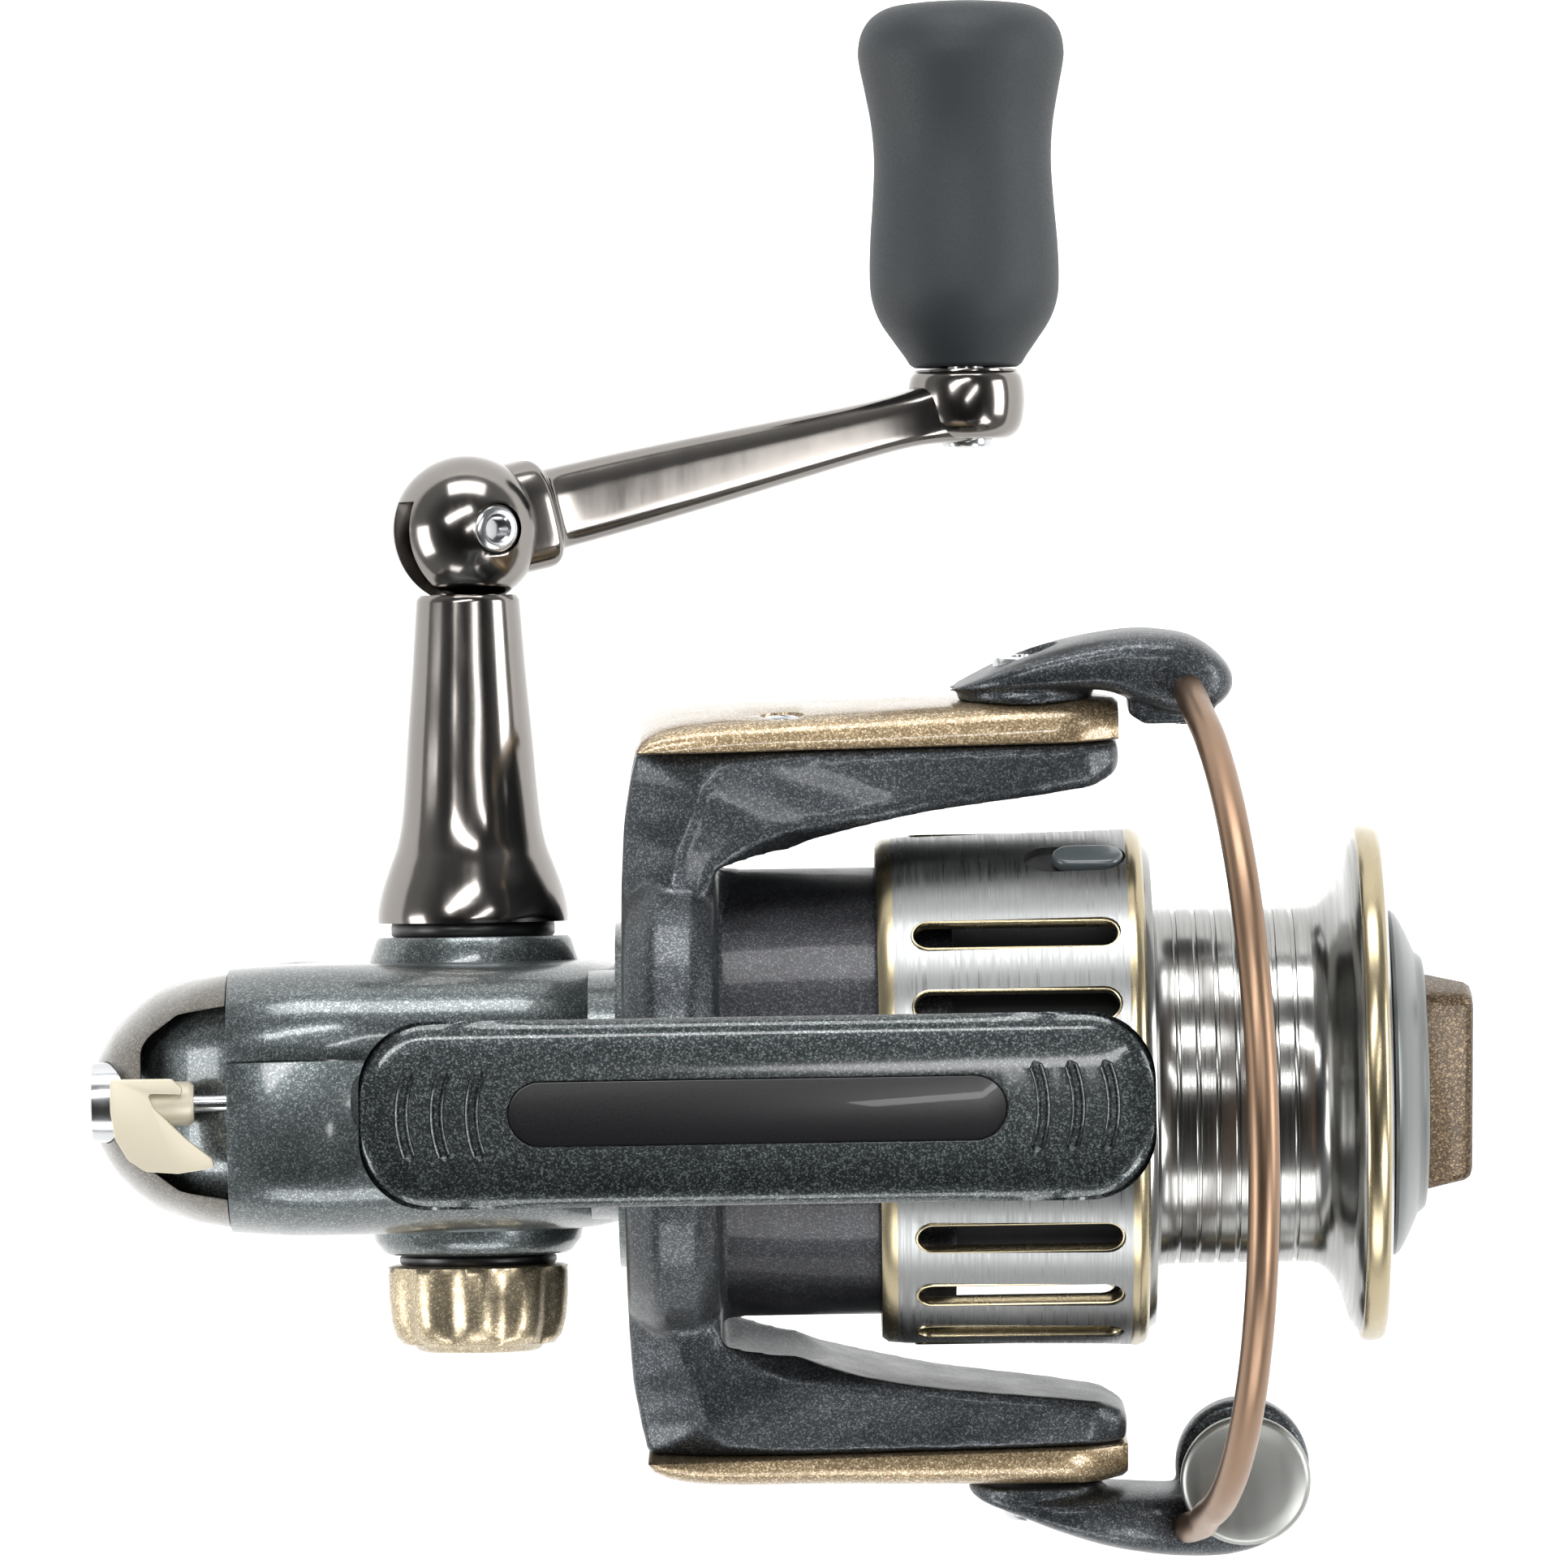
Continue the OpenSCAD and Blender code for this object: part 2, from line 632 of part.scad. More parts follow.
// Helical pinion: its teeth follow a helix that matches the drive gear's skewed teeth
module pinion_gear() {
  x0 = -15.9;
  x1 = -11.6;
  turn = 360 * 1.03 / (2 * PI * pinion_r);
  color([0.72, 0.58, 0.3]) difference() {
    union() {
      tube_x(2.2, 0, -19.4, x0);
      tube_x(2.3, 0, x0 - 0.2, x1 + 0.2);
      translate([x0, 0, axis_z]) rotate([0, 90, 0])
        linear_extrude(height = x1 - x0, twist = -turn * (x1 - x0), slices = 20)
          for (i = [0:pinion_teeth - 1]) rotate(360 * i / pinion_teeth)
            polygon([[2, -0.55], [3.5, -0.3], [3.5, 0.3], [2, 0.55]]);
      tube_x(2.3, 0, x1, -10);
      tube_x(3.4, 0, -10.1, -9.7);
      tube_x(3, 0, -9.8, 4.7);
    }
    tube_x(1.58, 0, -20, 6);
  }
}

module clutch_sleeve() {
  color([0.72, 0.73, 0.75]) tube_x(4.4, 3, -6.4, -0.3);
}

module rotor_nut() {
  color([0.75, 0.75, 0.77]) difference() {
    translate([2.25, 0, axis_z]) rotate([0, 90, 0]) cylinder(r = 5, h = 2.4, $fn = 6);
    tube_x(3, 0, 0, 6);
  }
}

module bail_spring() {
  color([0.7, 0.7, 0.72]) in_rotor() translate([-1.2, -25.75, 0]) rotate([0, 90, 0])
    coil(1.1, 0.25, 13, 7);
}

module spring_rod() {
  color([0.75, 0.75, 0.77]) in_rotor() translate([-1.9, -25.75, 0]) rotate([0, 90, 0])
    cylinder(r = 0.5, h = 15, $fn = 32);
}

module trip_rod() {
  color([0.75, 0.75, 0.77]) in_rotor() translate([-8.4, 25.2, 0]) rotate([0, 90, 0])
    cylinder(r = 0.75, h = 22, $fn = 32);
}

// ---- bail ----

// The wing on the crank side: its outline [x, y], cut to its outline [x, z]
module bail_arm() {
  color([0.24, 0.26, 0.27]) in_rotor() difference() {
    union() {
      intersection() {
        translate([0, 0, -12]) linear_extrude(height = 24) polygon([
          [15.2, 30.9], [18, 32.4], [22, 34.1], [26, 35.1], [29.8, 35.5], [33.6, 35], [36.4, 33], [36.8, 30.6],
          [35.6, 29], [28.9, 28.6], [28.6, 30.9]
        ]);
        translate([0, 40, 0]) rotate([90, 0, 0]) linear_extrude(height = 20) polygon([
          [14.6, -2], [17, -5.6], [24, -5.8], [30, -3.6], [36.5, -2.2], [37, 4.2], [32, 5.4], [24, 5.8], [17, 5.6],
          [14.6, 2]
        ]);
      }
      translate([bail_x, 27.4, 0]) rotate([-90, 0, 0]) cylinder(r = 2.4, h = 4, $fn = 48);
    }
    translate([bail_x, 20, 0]) rotate([-90, 0, 0]) cylinder(r = 1.3, h = 20, $fn = 48);
    translate([bail_x, 32.2, 0]) rotate([-90, 0, 0]) cylinder(r = 2.6, h = 20, $fn = 48);
    wire_shape(wire_r + 0.03);
  }
}

module roller_arm() {
  color([0.24, 0.26, 0.27]) in_rotor() difference() {
    union() {
      intersection() {
        translate([0, 0, -12]) linear_extrude(height = 24) polygon([
          [15.8, -30.9], [19.6, -32.6], [25.5, -35.1], [31, -36.5], [36.5, -37], [40.6, -35.4], [42.2, -31.4],
          [40, -28], [36, -27], [33, -28.6], [29, -30.9]
        ]);
        translate([0, -20, 0]) rotate([90, 0, 0]) linear_extrude(height = 20) polygon([
          [14.6, -2], [17, -5.6], [26, -5.8], [34, -6.4], [43, -6.4], [43, -2.6], [32.7, -2.6], [31.2, 3.4],
          [24, 5.8], [17, 5.6], [14.6, 2]
        ]);
      }
      translate([bail_x, -31.2, 0]) rotate([90, 0, 0]) translate([0, 0, -3.8]) cylinder(r = 2.4, h = 4, $fn = 48);
    }
    translate([bail_x, -45, 0]) rotate([-90, 0, 0]) cylinder(r = 1.3, h = 20, $fn = 48);
    translate([bail_x, -45, 0]) rotate([-90, 0, 0]) cylinder(r = 2.6, h = 12.8, $fn = 48);
    translate([roller_x, roller_y, -8]) cylinder(r = 1.4, h = 12, $fn = 48);
  }
}

module bail_screws() {
  color([0.7, 0.7, 0.72]) in_rotor() for (s = [-1, 1]) mirror([0, s < 0 ? 1 : 0, 0]) translate([bail_x, 0, 0]) {
    translate([0, 23.4, 0]) rotate([-90, 0, 0]) cylinder(r = 1.25, h = 8.9, $fn = 48);
    translate([0, 32.25, 0]) rotate([-90, 0, 0]) difference() {
      cylinder(r = 2.4, h = 0.9, $fn = 48);
      translate([0, 0, 0.4]) cylinder(r = 0.9, h = 1, $fn = 6);
    }
  }
}

// The wire is half a ring that stands on the line through both arm ends and leans forward a little
wire_lean = 0.16;
wire_r = 1.2;
wire_x = 32.6;
module wire_shape(radius) {
  n = sqrt(1 + wire_lean * wire_lean);
  multmatrix([
    [0, wire_lean / n, 1 / n, wire_x],
    [1, 0, 0, -1],
    [0, 1 / n, -wire_lean / n, 1.6],
    [0, 0, 0, 1]
  ]) rotate([0, 0, 5]) rotate_extrude(angle = 170, $fn = 96) translate([bail_r, 0]) circle(r = radius, $fn = 24);
}
module bail_wire() {
  color([0.6, 0.4, 0.28]) in_rotor() wire_shape(wire_r);
}

module roller_cap() {
  color([0.35, 0.35, 0.34]) in_rotor() difference() {
    translate([roller_x, roller_y, 0]) {
      translate([0, 0, 3.1]) cylinder(r = 5, h = 1.5, $fn = 64);
      translate([0, 0, 4.6]) cylinder(r = 4.2, h = 0.6, $fn = 64);
      translate([-5.6, -4.6, 3.1]) cube([4, 3.4, 1.5]);
    }
    wire_shape(wire_r + 0.03);
  }
}

module roller_screw() {
  color([0.7, 0.7, 0.72]) in_rotor() translate([roller_x, roller_y, 0]) {
    translate([0, 0, -6.2]) cylinder(r = 1.35, h = 9.3, $fn = 48);
    translate([0, 0, -7]) cylinder(r = 2.2, h = 0.6, $fn = 48);
  }
}

module line_roller() {
  color([0.78, 0.72, 0.55]) in_rotor() translate([roller_x, roller_y, 0]) rotate_extrude($fn = 64) polygon([
    [1.4, -2.5], [3.9, -2.5], [4.1, -2], [3.2, 0.2], [4.1, 2.6], [3.9, 3], [1.4, 3]
  ]);
}

// ---- shaft, slider and spool ----

module main_shaft() {
  color([0.75, 0.75, 0.77]) difference() {
    tube_x(shaft_r, 0, slider_x - 2, 49.9);
    for (s = [-1, 1]) translate([37.8, -2, axis_z + s * 2.2 - 1]) cube([20, 4, 2]);
  }
}

module oscillation_slider() {
  color([0.7, 0.7, 0.6]) difference() {
    union() {
      translate([slider_x - 1.9, -4.2, osc_z - throw_r - 2.3]) cube([3.8, 2.2, throw_r * 2 + 12]);
      translate([slider_x - 1.9, -4.4, axis_z - 2.6]) cube([3.8, 6.5, 5.2]);
      translate([slider_x - 1.9, -4.5, axis_z + 2]) cube([3.8, 3, 3.2]);
    }
    tube_x(shaft_r, 0, slider_x - 2, slider_x + 3);
    tube_x(0.95, 0, slider_x - 4, slider_x + 4, -3.2, axis_z + 3.6);
    hull() for (s = [-1, 1]) translate([slider_x, -8, osc_z + s * (throw_r + 0.2)]) rotate([-90, 0, 0])
      cylinder(r = 1.25, h = 7, $fn = 32);
  }
}

module click_gear() {
  color([0.75, 0.75, 0.77]) difference() {
    translate([25.9, 0, axis_z]) rotate([0, 90, 0]) linear_extrude(height = 1.7) spur_outline(24, 5.6, 0.36);
    tube_x(shaft_r + 0.03, 0, 20, 30);
  }
}

washer_x = 38.6;
module felt_washers() {
  color([0.55, 0.5, 0.4]) for (i = [0:2]) tube_x(10.9, 3.4, washer_x + 0.05 + 2 * i, washer_x + 1.05 + 2 * i);
}

module keyed_washers() {
  color([0.72, 0.73, 0.75]) for (i = [0:1]) difference() {
    tube_x(10.3, 0, washer_x + 1.15 + 2 * i, washer_x + 1.95 + 2 * i);
    intersection() {
      tube_x(shaft_r, 0, 30, 50);
      translate([30, -3, axis_z - 1.2]) cube([20, 6, 2.4]);
    }
  }
}

// The spool with the sleeve that hides its hub inside the skirt
module spool() {
  groove = 0.25;
  color([0.72, 0.73, 0.74]) about_x(concat(
    [
      [2.5, 28.1], [5, 28.1], [5, 35.6], [12.2, 35.6], [12.2, 16.4], [13, 16.4], [13, 29.3], [17.6, 29.3],
      [17.6, 28.7], [18.7, 28.7], [18.7, 29.9], [18, 30.3], [arbor_r, 30.3]
    ],
    [for (i = [0:5], k = [0:3]) [arbor_r - (k == 1 || k == 2 ? groove : 0), 31.6 + 1.75 * i + 0.35 * (k > 1 ? 1 : 0)]],
    [
      [arbor_r, 42.4], [14.4, 43.6], [16, 44.6], [18.4, 45.4], [19.3, 46], [19.3, 47.9], [17.5, 48.2], [14, 48.2],
      [13.9, 47.4], [11.2, 47.4], [11.2, 38.5], [2.5, 38.5]
    ]
  ));
}

module lip_ring() {
  color([0.7, 0.62, 0.42]) about_x([
    [19.3, 46], [lip_r - 0.25, 46.1], [lip_r, 46.6], [lip_r, 47.2], [lip_r - 0.3, 47.8], [19.3, 47.9]
  ]);
}

// Turn of the slots, the slot that gives way to the line clip, and the place of that clip
slot_turn = -2;
clip_slot = 17;
clip_turn = -64;
clip_x = 25.4;

module spool_skirt() {
  color([0.7, 0.71, 0.72]) difference() {
    about_x([
      [18.7, 9.4], [19.2, 9.2], [19.4, 9.4], [19.5, 11], [skirt_r - 0.1, 28.5], [skirt_r, 29], [skirt_r - 0.5, 29.6],
      [18.75, 29.6]
    ]);
    for (i = [0:skirt_slots - 1]) if (i != clip_slot && i != clip_slot - 1)
      translate([0, 0, axis_z]) rotate([slot_turn + 360 * i / skirt_slots, 0, 0]) skirt_slot();
    translate([0, 0, axis_z]) rotate([clip_turn, 0, 0]) translate([clip_x - 1, 0, 18.95])
      linear_extrude(height = 3) stadium(7.8, 4.2);
  }
}
module skirt_slot() {
  translate([19.7, 0, 15]) linear_extrude(height = 7) stadium(15.5, 2.3);
}

module line_clip() {
  color([0.1, 0.1, 0.1]) translate([0, 0, axis_z]) rotate([clip_turn, 0, 0]) translate([clip_x, 0, 18.95]) {
    cylinder(r = 1, h = 0.6, $fn = 32);
    translate([0, 0, 0.55]) linear_extrude(height = 0.65) stadium(5.4, 3);
  }
}

module spool_bush() {
  color([0.72, 0.6, 0.35]) tube_x(2.5, 1.56, 28.2, 37.5);
}

// ---- drag ----

plate_x = washer_x + 5.15;
module drag_plate() {
  color([0.7, 0.7, 0.72]) difference() {
    union() {
      tube_x(10, 0, plate_x, plate_x + 0.7);
      tube_x(3.2, 0, plate_x, plate_x + 1.4);
    }
    tube_x(1.56, 0, 30, 60);
  }
}

module drag_spring() {
  color([0.75, 0.75, 0.77]) translate([plate_x + 1.02, 0, axis_z]) rotate([0, 90, 0])
    coil(4.2, 0.3, 1.9, 2);
}

module drag_knob() {
  color([0.35, 0.38, 0.37]) about_x([
    [1.58, 47], [3.4, 47], [3.4, 45.8], [3.6, 45.8], [3.6, 47.2], [5, 47.2], [5, 45.6], [8, 45.6], [8, 48.4],
    [13.2, 48.4], [13.3, 48.8], [12.9, 49.3], [11.6, 50.1], [10, 50.6], [9.6, 51.2], [0, 51.2], [0, 50.1], [1.58, 50.1]
  ]);
}

wing_turn = 20;
module drag_wing() {
  color([0.4, 0.29, 0.2]) translate([51.25, 0, axis_z]) rotate([wing_turn, 0, 0]) rotate([0, 90, 0]) hull() {
    translate([-2.3, -8.2, 0]) cube([4.6, 16.4, 0.2]);
    translate([-1.5, -6.9, 3.5]) cube([3, 13.8, 0.2]);
  }
}

// ---- anti-reverse ----

module anti_reverse_lever() {
  color([0.6, 0.52, 0.36]) {
    tube_x(0.68, 0, -45, -9.8, 0, lever_z);
    tube_x(1.7, 0, -49.2, -43.2, 0, lever_z);
    translate([0, 0, lever_z + 1]) linear_extrude(height = 1.45) polygon([
      [-49.5, 1.95], [-44.8, 1.95], [-44.1, 0.75], [-46.7, 0.85], [-46.2, -0.25], [-43.7, -2.7], [-41.8, -4.2],
      [-41.6, -4.9], [-44.4, -5.3], [-46.9, -5.1], [-48.2, -4.2], [-49.2, -2.5]
    ]);
  }
}

housing();
foot_label();
side_cover();
rear_cap();
rear_eyelet();
cover_screws();
crank_bearing_cups();
pinion_bearing_cup();
pinion_bush();
one_way_clutch();
clutch_retainer();
guide_rod();
drive_gear();
gear_shaft();
crank_bearing_cones();
handle_shaft();
handle_sleeve();
handle_seal();
screw_cap();
cap_seal();
crank_arm();
hinge_screw();
knob_spindle();
knob_grip();
knob_bushes();
knob_cap();
rotor();
pinion_gear();
pinion_bearing_cone();
clutch_sleeve();
rotor_nut();
arm_cover_left();
arm_cover_right();
arm_cover_screws();
bail_spring();
spring_rod();
trip_rod();
bail_arm();
roller_arm();
bail_wire();
bail_screws();
roller_cap();
roller_screw();
line_roller();
main_shaft();
oscillation_slider();
oscillation_gear();
click_gear();
keyed_washers();
spool();
spool_skirt();
lip_ring();
line_clip();
spool_bush();
felt_washers();
drag_plate();
drag_spring();
drag_knob();
drag_wing();
anti_reverse_lever();
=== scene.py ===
import json
import math

import bmesh
import bpy
from mathutils import Matrix, Vector


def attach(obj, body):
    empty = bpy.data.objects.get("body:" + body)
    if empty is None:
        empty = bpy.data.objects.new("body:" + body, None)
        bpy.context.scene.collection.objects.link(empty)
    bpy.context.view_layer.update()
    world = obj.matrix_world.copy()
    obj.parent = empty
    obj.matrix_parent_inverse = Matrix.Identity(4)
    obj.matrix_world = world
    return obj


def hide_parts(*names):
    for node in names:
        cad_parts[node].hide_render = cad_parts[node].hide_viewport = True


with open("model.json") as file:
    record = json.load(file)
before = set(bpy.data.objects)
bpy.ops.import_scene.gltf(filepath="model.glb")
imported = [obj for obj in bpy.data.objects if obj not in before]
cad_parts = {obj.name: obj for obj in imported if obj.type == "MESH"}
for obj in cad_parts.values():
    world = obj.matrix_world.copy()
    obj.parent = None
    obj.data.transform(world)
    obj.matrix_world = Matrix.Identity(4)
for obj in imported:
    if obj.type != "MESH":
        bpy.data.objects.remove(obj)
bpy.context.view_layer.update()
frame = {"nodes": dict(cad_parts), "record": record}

MM = 0.001
AXIS_Z = -58.0                      # spool axis, mm under the foot's seat
GEAR_X, GEAR_Z = -22.0, -65.0       # crank axis
BALL_Y, BALL_R = 43.8, 5.8          # ball of the folding crank
EYE_Y, CRANK_R = 53.5, 44.4         # knob's eye on the crank arm
ROTOR_TURN = math.radians(6)
CRANK_TURN = math.radians(28)

ROTOR = Matrix.Translation((0, 0, AXIS_Z * MM)) @ Matrix.Rotation(ROTOR_TURN, 4, "X")
CRANK = Matrix.Translation((GEAR_X * MM, 0, GEAR_Z * MM)) @ Matrix.Rotation(CRANK_TURN, 4, "Y")
SPOOL = Matrix.Translation((0, 0, AXIS_Z * MM))


# ---------------------------------------------------------------- materials

class Nodes:
    """A short way to wire shader nodes."""

    def __init__(self, name):
        self.mat = bpy.data.materials.new(name)
        self.mat.use_nodes = True
        self.tree = self.mat.node_tree
        self.bsdf = self.tree.nodes["Principled BSDF"]
        self.coord = self.tree.nodes.new("ShaderNodeTexCoord")

    def add(self, kind, **values):
        node = self.tree.nodes.new(kind)
        for key, value in values.items():
            if hasattr(node, key):
                setattr(node, key, value)
            else:
                node.inputs[key].default_value = value
        return node

    def link(self, a, out, b, into):
        self.tree.links.new(a.outputs[out], b.inputs[into])

    def set(self, **values):
        for key, value in values.items():
            self.bsdf.inputs[key.replace("_", " ")].default_value = value

    def scaled(self, scale):
        """Object coordinates stretched by a factor for each axis."""
        mapping = self.add("ShaderNodeMapping")
        mapping.inputs["Scale"].default_value = scale
        self.link(self.coord, "Object", mapping, "Vector")
        return mapping

    def noise(self, scale, detail=2.0, rough=0.5, source=None):
        node = self.add("ShaderNodeTexNoise")
        node.inputs["Scale"].default_value = scale
        node.inputs["Detail"].default_value = detail
        node.inputs["Roughness"].default_value = rough
        if source is None:
            self.link(self.coord, "Object", node, "Vector")
        else:
            self.link(source, "Vector", node, "Vector")
        return node

    def ramp(self, source, out, stops):
        node = self.add("ShaderNodeValToRGB")
        ramp = node.color_ramp
        while len(ramp.elements) < len(stops):
            ramp.elements.new(0.5)
        for element, (pos, colour) in zip(ramp.elements, stops):
            element.position = pos
            element.color = (*colour, 1) if len(colour) == 3 else (colour[0],) * 3 + (1,)
        self.link(source, out, node, "Fac")
        return node

    def bump(self, source, out, strength, distance):
        node = self.add("ShaderNodeBump")
        node.inputs["Strength"].default_value = strength
        node.inputs["Distance"].default_value = distance
        self.link(source, out, node, "Height")
        self.link(node, "Normal", self.bsdf, "Normal")
        return node


def flake_paint(name, dark, mid, bright, rough=0.32, flake=0.00011, metallic=0.75, coat=0.5, tilt=0.35):
    """Metallic lacquer: small flakes, each with its own tilt and brightness, under a clear coat."""
    n = Nodes(name)
    flakes = n.add("ShaderNodeTexVoronoi")
    flakes.inputs["Scale"].default_value = 1 / flake
    n.link(n.coord, "Object", flakes, "Vector")
    split = n.add("ShaderNodeSeparateColor")
    n.link(flakes, "Color", split, "Color")
    tone = n.ramp(split, "Red", [(0.0, dark), (0.62, mid), (0.9, bright), (1.0, [min(1, c * 1.5) for c in bright])])
    cloud = n.noise(90, 3)
    patch = n.ramp(cloud, "Fac", [(0.35, (0.86,)), (0.7, (1.0,))])
    mix = n.add("ShaderNodeMix", data_type="RGBA", blend_type="MULTIPLY")
    mix.inputs["Factor"].default_value = 1
    n.link(tone, "Color", mix, 6)
    n.link(patch, "Color", mix, 7)
    n.link(mix, 2, n.bsdf, "Base Color")
    grain = n.noise(240, 3)
    roughness = n.ramp(grain, "Fac", [(0.3, (rough * 0.85,)), (0.7, (rough * 1.2,))])
    n.link(roughness, "Color", n.bsdf, "Roughness")
    n.bump(split, "Green", tilt, 0.00003)
    n.set(Metallic=metallic, Coat_Weight=coat, Coat_Roughness=0.08)
    return n.mat


def polished(name, colour, rough=0.12, metallic=1.0, haze=0.06, coat=0.0):
    """Plated or polished metal with faint wipe marks and a slow change of tone."""
    n = Nodes(name)
    cloud = n.noise(60, 4)
    tone = n.ramp(cloud, "Fac", [(0.3, [c * 0.9 for c in colour]), (0.7, colour)])
    n.link(tone, "Color", n.bsdf, "Base Color")
    wipe = n.noise(900, 5, 0.65, n.scaled((1, 0.15, 0.4)))
    roughness = n.ramp(wipe, "Fac", [(0.35, (rough,)), (0.75, (rough + haze,))])
    n.link(roughness, "Color", n.bsdf, "Roughness")
    n.bump(wipe, "Fac", 0.02, 0.00001)
    n.set(Metallic=metallic, Coat_Weight=coat)
    return n.mat


TURNING_PITCH = 0.00022


def turned(name, colour, rough, depth):
    """Lathe-turned metal: fine rings across the spool axis."""
    n = Nodes(name)
    rings = n.noise(1 / TURNING_PITCH, 3, 0.7, n.scaled((1, 0.02, 0.02)))
    tone = n.ramp(rings, "Fac", [(0.3, [c * 0.72 for c in colour]), (0.7, colour)])
    n.link(tone, "Color", n.bsdf, "Base Color")
    roughness = n.ramp(rings, "Fac", [(0.3, (rough * 1.35,)), (0.7, (rough * 0.8,))])
    n.link(roughness, "Color", n.bsdf, "Roughness")
    n.bump(rings, "Fac", 0.35, depth)
    n.set(Metallic=1.0)
    return n.mat


def moulded(name, colour, rough=0.45, grain=0.0002, depth=0.00001, metallic=0.0, coat=0.0, sheen=0.0):
    """Moulded plastic or rubber with a fine texture."""
    n = Nodes(name)
    fine = n.noise(1 / grain, 4, 0.6)
    slow = n.noise(50, 3)
    tone = n.ramp(slow, "Fac", [(0.3, [c * 0.86 for c in colour]), (0.7, colour)])
    n.link(tone, "Color", n.bsdf, "Base Color")
    roughness = n.ramp(fine, "Fac", [(0.3, (rough * 0.9,)), (0.7, (min(1, rough * 1.12),))])
    n.link(roughness, "Color", n.bsdf, "Roughness")
    n.bump(fine, "Fac", 0.3, depth)
    n.set(Metallic=metallic, Coat_Weight=coat, Sheen_Weight=sheen)
    return n.mat


def make_materials():
    """Every finish, by name."""
    recipes = [
        (flake_paint, "case_grey",
         ((0.04, 0.048, 0.05), (0.075, 0.087, 0.09), (0.15, 0.17, 0.172), 0.3), dict(tilt=0.2)),
        (flake_paint, "foot_grey",
         ((0.008, 0.01, 0.011), (0.022, 0.027, 0.029), (0.085, 0.1, 0.1), 0.34), dict(tilt=0.3)),
        (flake_paint, "rotor_dark",
         ((0.018, 0.021, 0.024), (0.036, 0.041, 0.046), (0.09, 0.098, 0.105), 0.4), dict(coat=0.15, tilt=0.16)),
        (flake_paint, "drum_dark",
         ((0.01, 0.01, 0.013), (0.018, 0.019, 0.023), (0.045, 0.046, 0.05), 0.38), dict(coat=0.2)),
        (moulded, "label_black", ((0.004, 0.004, 0.005), 0.3), dict(coat=0.15, depth=0.000002)),
        (flake_paint, "bronze", ((0.13, 0.093, 0.05), (0.25, 0.185, 0.105), (0.46, 0.36, 0.23), 0.34), dict()),
        (flake_paint, "shroud",
         ((0.04, 0.035, 0.026), (0.075, 0.066, 0.05), (0.14, 0.125, 0.1), 0.34), dict(tilt=0.2)),
        (flake_paint, "champagne",
         ((0.36, 0.3, 0.19), (0.5, 0.42, 0.27), (0.66, 0.57, 0.39), 0.26), dict(metallic=0.9)),
        (flake_paint, "cap_gold",
         ((0.27, 0.22, 0.145), (0.4, 0.33, 0.22), (0.55, 0.47, 0.33), 0.34),
         dict(metallic=0.9, coat=0.1, tilt=0.06)),
        (moulded, "lever_satin", ((0.55, 0.5, 0.39), 0.42), dict(grain=0.00016, metallic=0.25)),
        (moulded, "clip_grey", ((0.055, 0.066, 0.07), 0.3), dict(coat=0.2)),
        (polished, "gunmetal", ((0.21, 0.195, 0.182), 0.13), dict()),
        (polished, "steel", ((0.5, 0.51, 0.52), 0.2), dict()),
        (polished, "brass", ((0.62, 0.46, 0.2), 0.25), dict()),
        (polished, "alloy", ((0.6, 0.61, 0.62), 0.25), dict()),
        (turned, "spool_metal", ((0.29, 0.29, 0.28), 0.19), dict(depth=0.000002)),
        (turned, "skirt_metal", ((0.235, 0.24, 0.24), 0.3), dict(depth=0.000004)),
        (polished, "gold_ring", ((0.36, 0.305, 0.195), 0.24), dict()),
        (moulded, "soft_grip", ((0.008, 0.012, 0.015), 0.62), dict()),
        (moulded, "black_plastic", ((0.02, 0.024, 0.026), 0.25), dict(coat=0.4)),
        (moulded, "seal_rubber", ((0.008, 0.008, 0.009), 0.35), dict()),
        (moulded, "felt", ((0.36, 0.31, 0.23), 0.95), dict(grain=0.0004, depth=0.00006, sheen=0.5)),
        (polished, "wire_copper", ((0.23, 0.15, 0.1), 0.33), dict(haze=0.1)),
        (moulded, "knob_satin", ((0.13, 0.14, 0.135), 0.32), dict(metallic=0.6)),
        (flake_paint, "wing_bronze",
         ((0.035, 0.023, 0.013), (0.07, 0.048, 0.028), (0.16, 0.115, 0.07), 0.42), dict(coat=0.1, tilt=0.4)),
        (moulded, "acetal", ((0.74, 0.73, 0.66), 0.4), dict()),
        (polished, "cap_disc", ((0.3, 0.305, 0.29), 0.38), dict()),
        # hole_dark: near-black painted shade for the insides of spool and skirt, over their own dark anodising
        (moulded, "hole_dark", ((0.01, 0.01, 0.011), 0.6), dict()),
    ]
    return {name: make(name, *values, **options) for make, name, values, options in recipes}


MAT = make_materials()


# ---------------------------------------------------------------- mesh helpers

def obj_from(name, bm, mat, place=None, sharp=40):
    """An object from a bmesh in millimetres, put in place by a matrix in metres."""
    bmesh.ops.remove_doubles(bm, verts=bm.verts, dist=0.0005)
    bmesh.ops.recalc_face_normals(bm, faces=bm.faces)
    mesh = bpy.data.meshes.new(name)
    bm.to_mesh(mesh)
    bm.free()
    mesh.transform(Matrix.Scale(MM, 4))
    if place is not None:
        mesh.transform(place)
    obj = bpy.data.objects.new(name, mesh)
    bpy.context.scene.collection.objects.link(obj)
    mesh.materials.append(mat)
    shade(obj, sharp)
    return obj


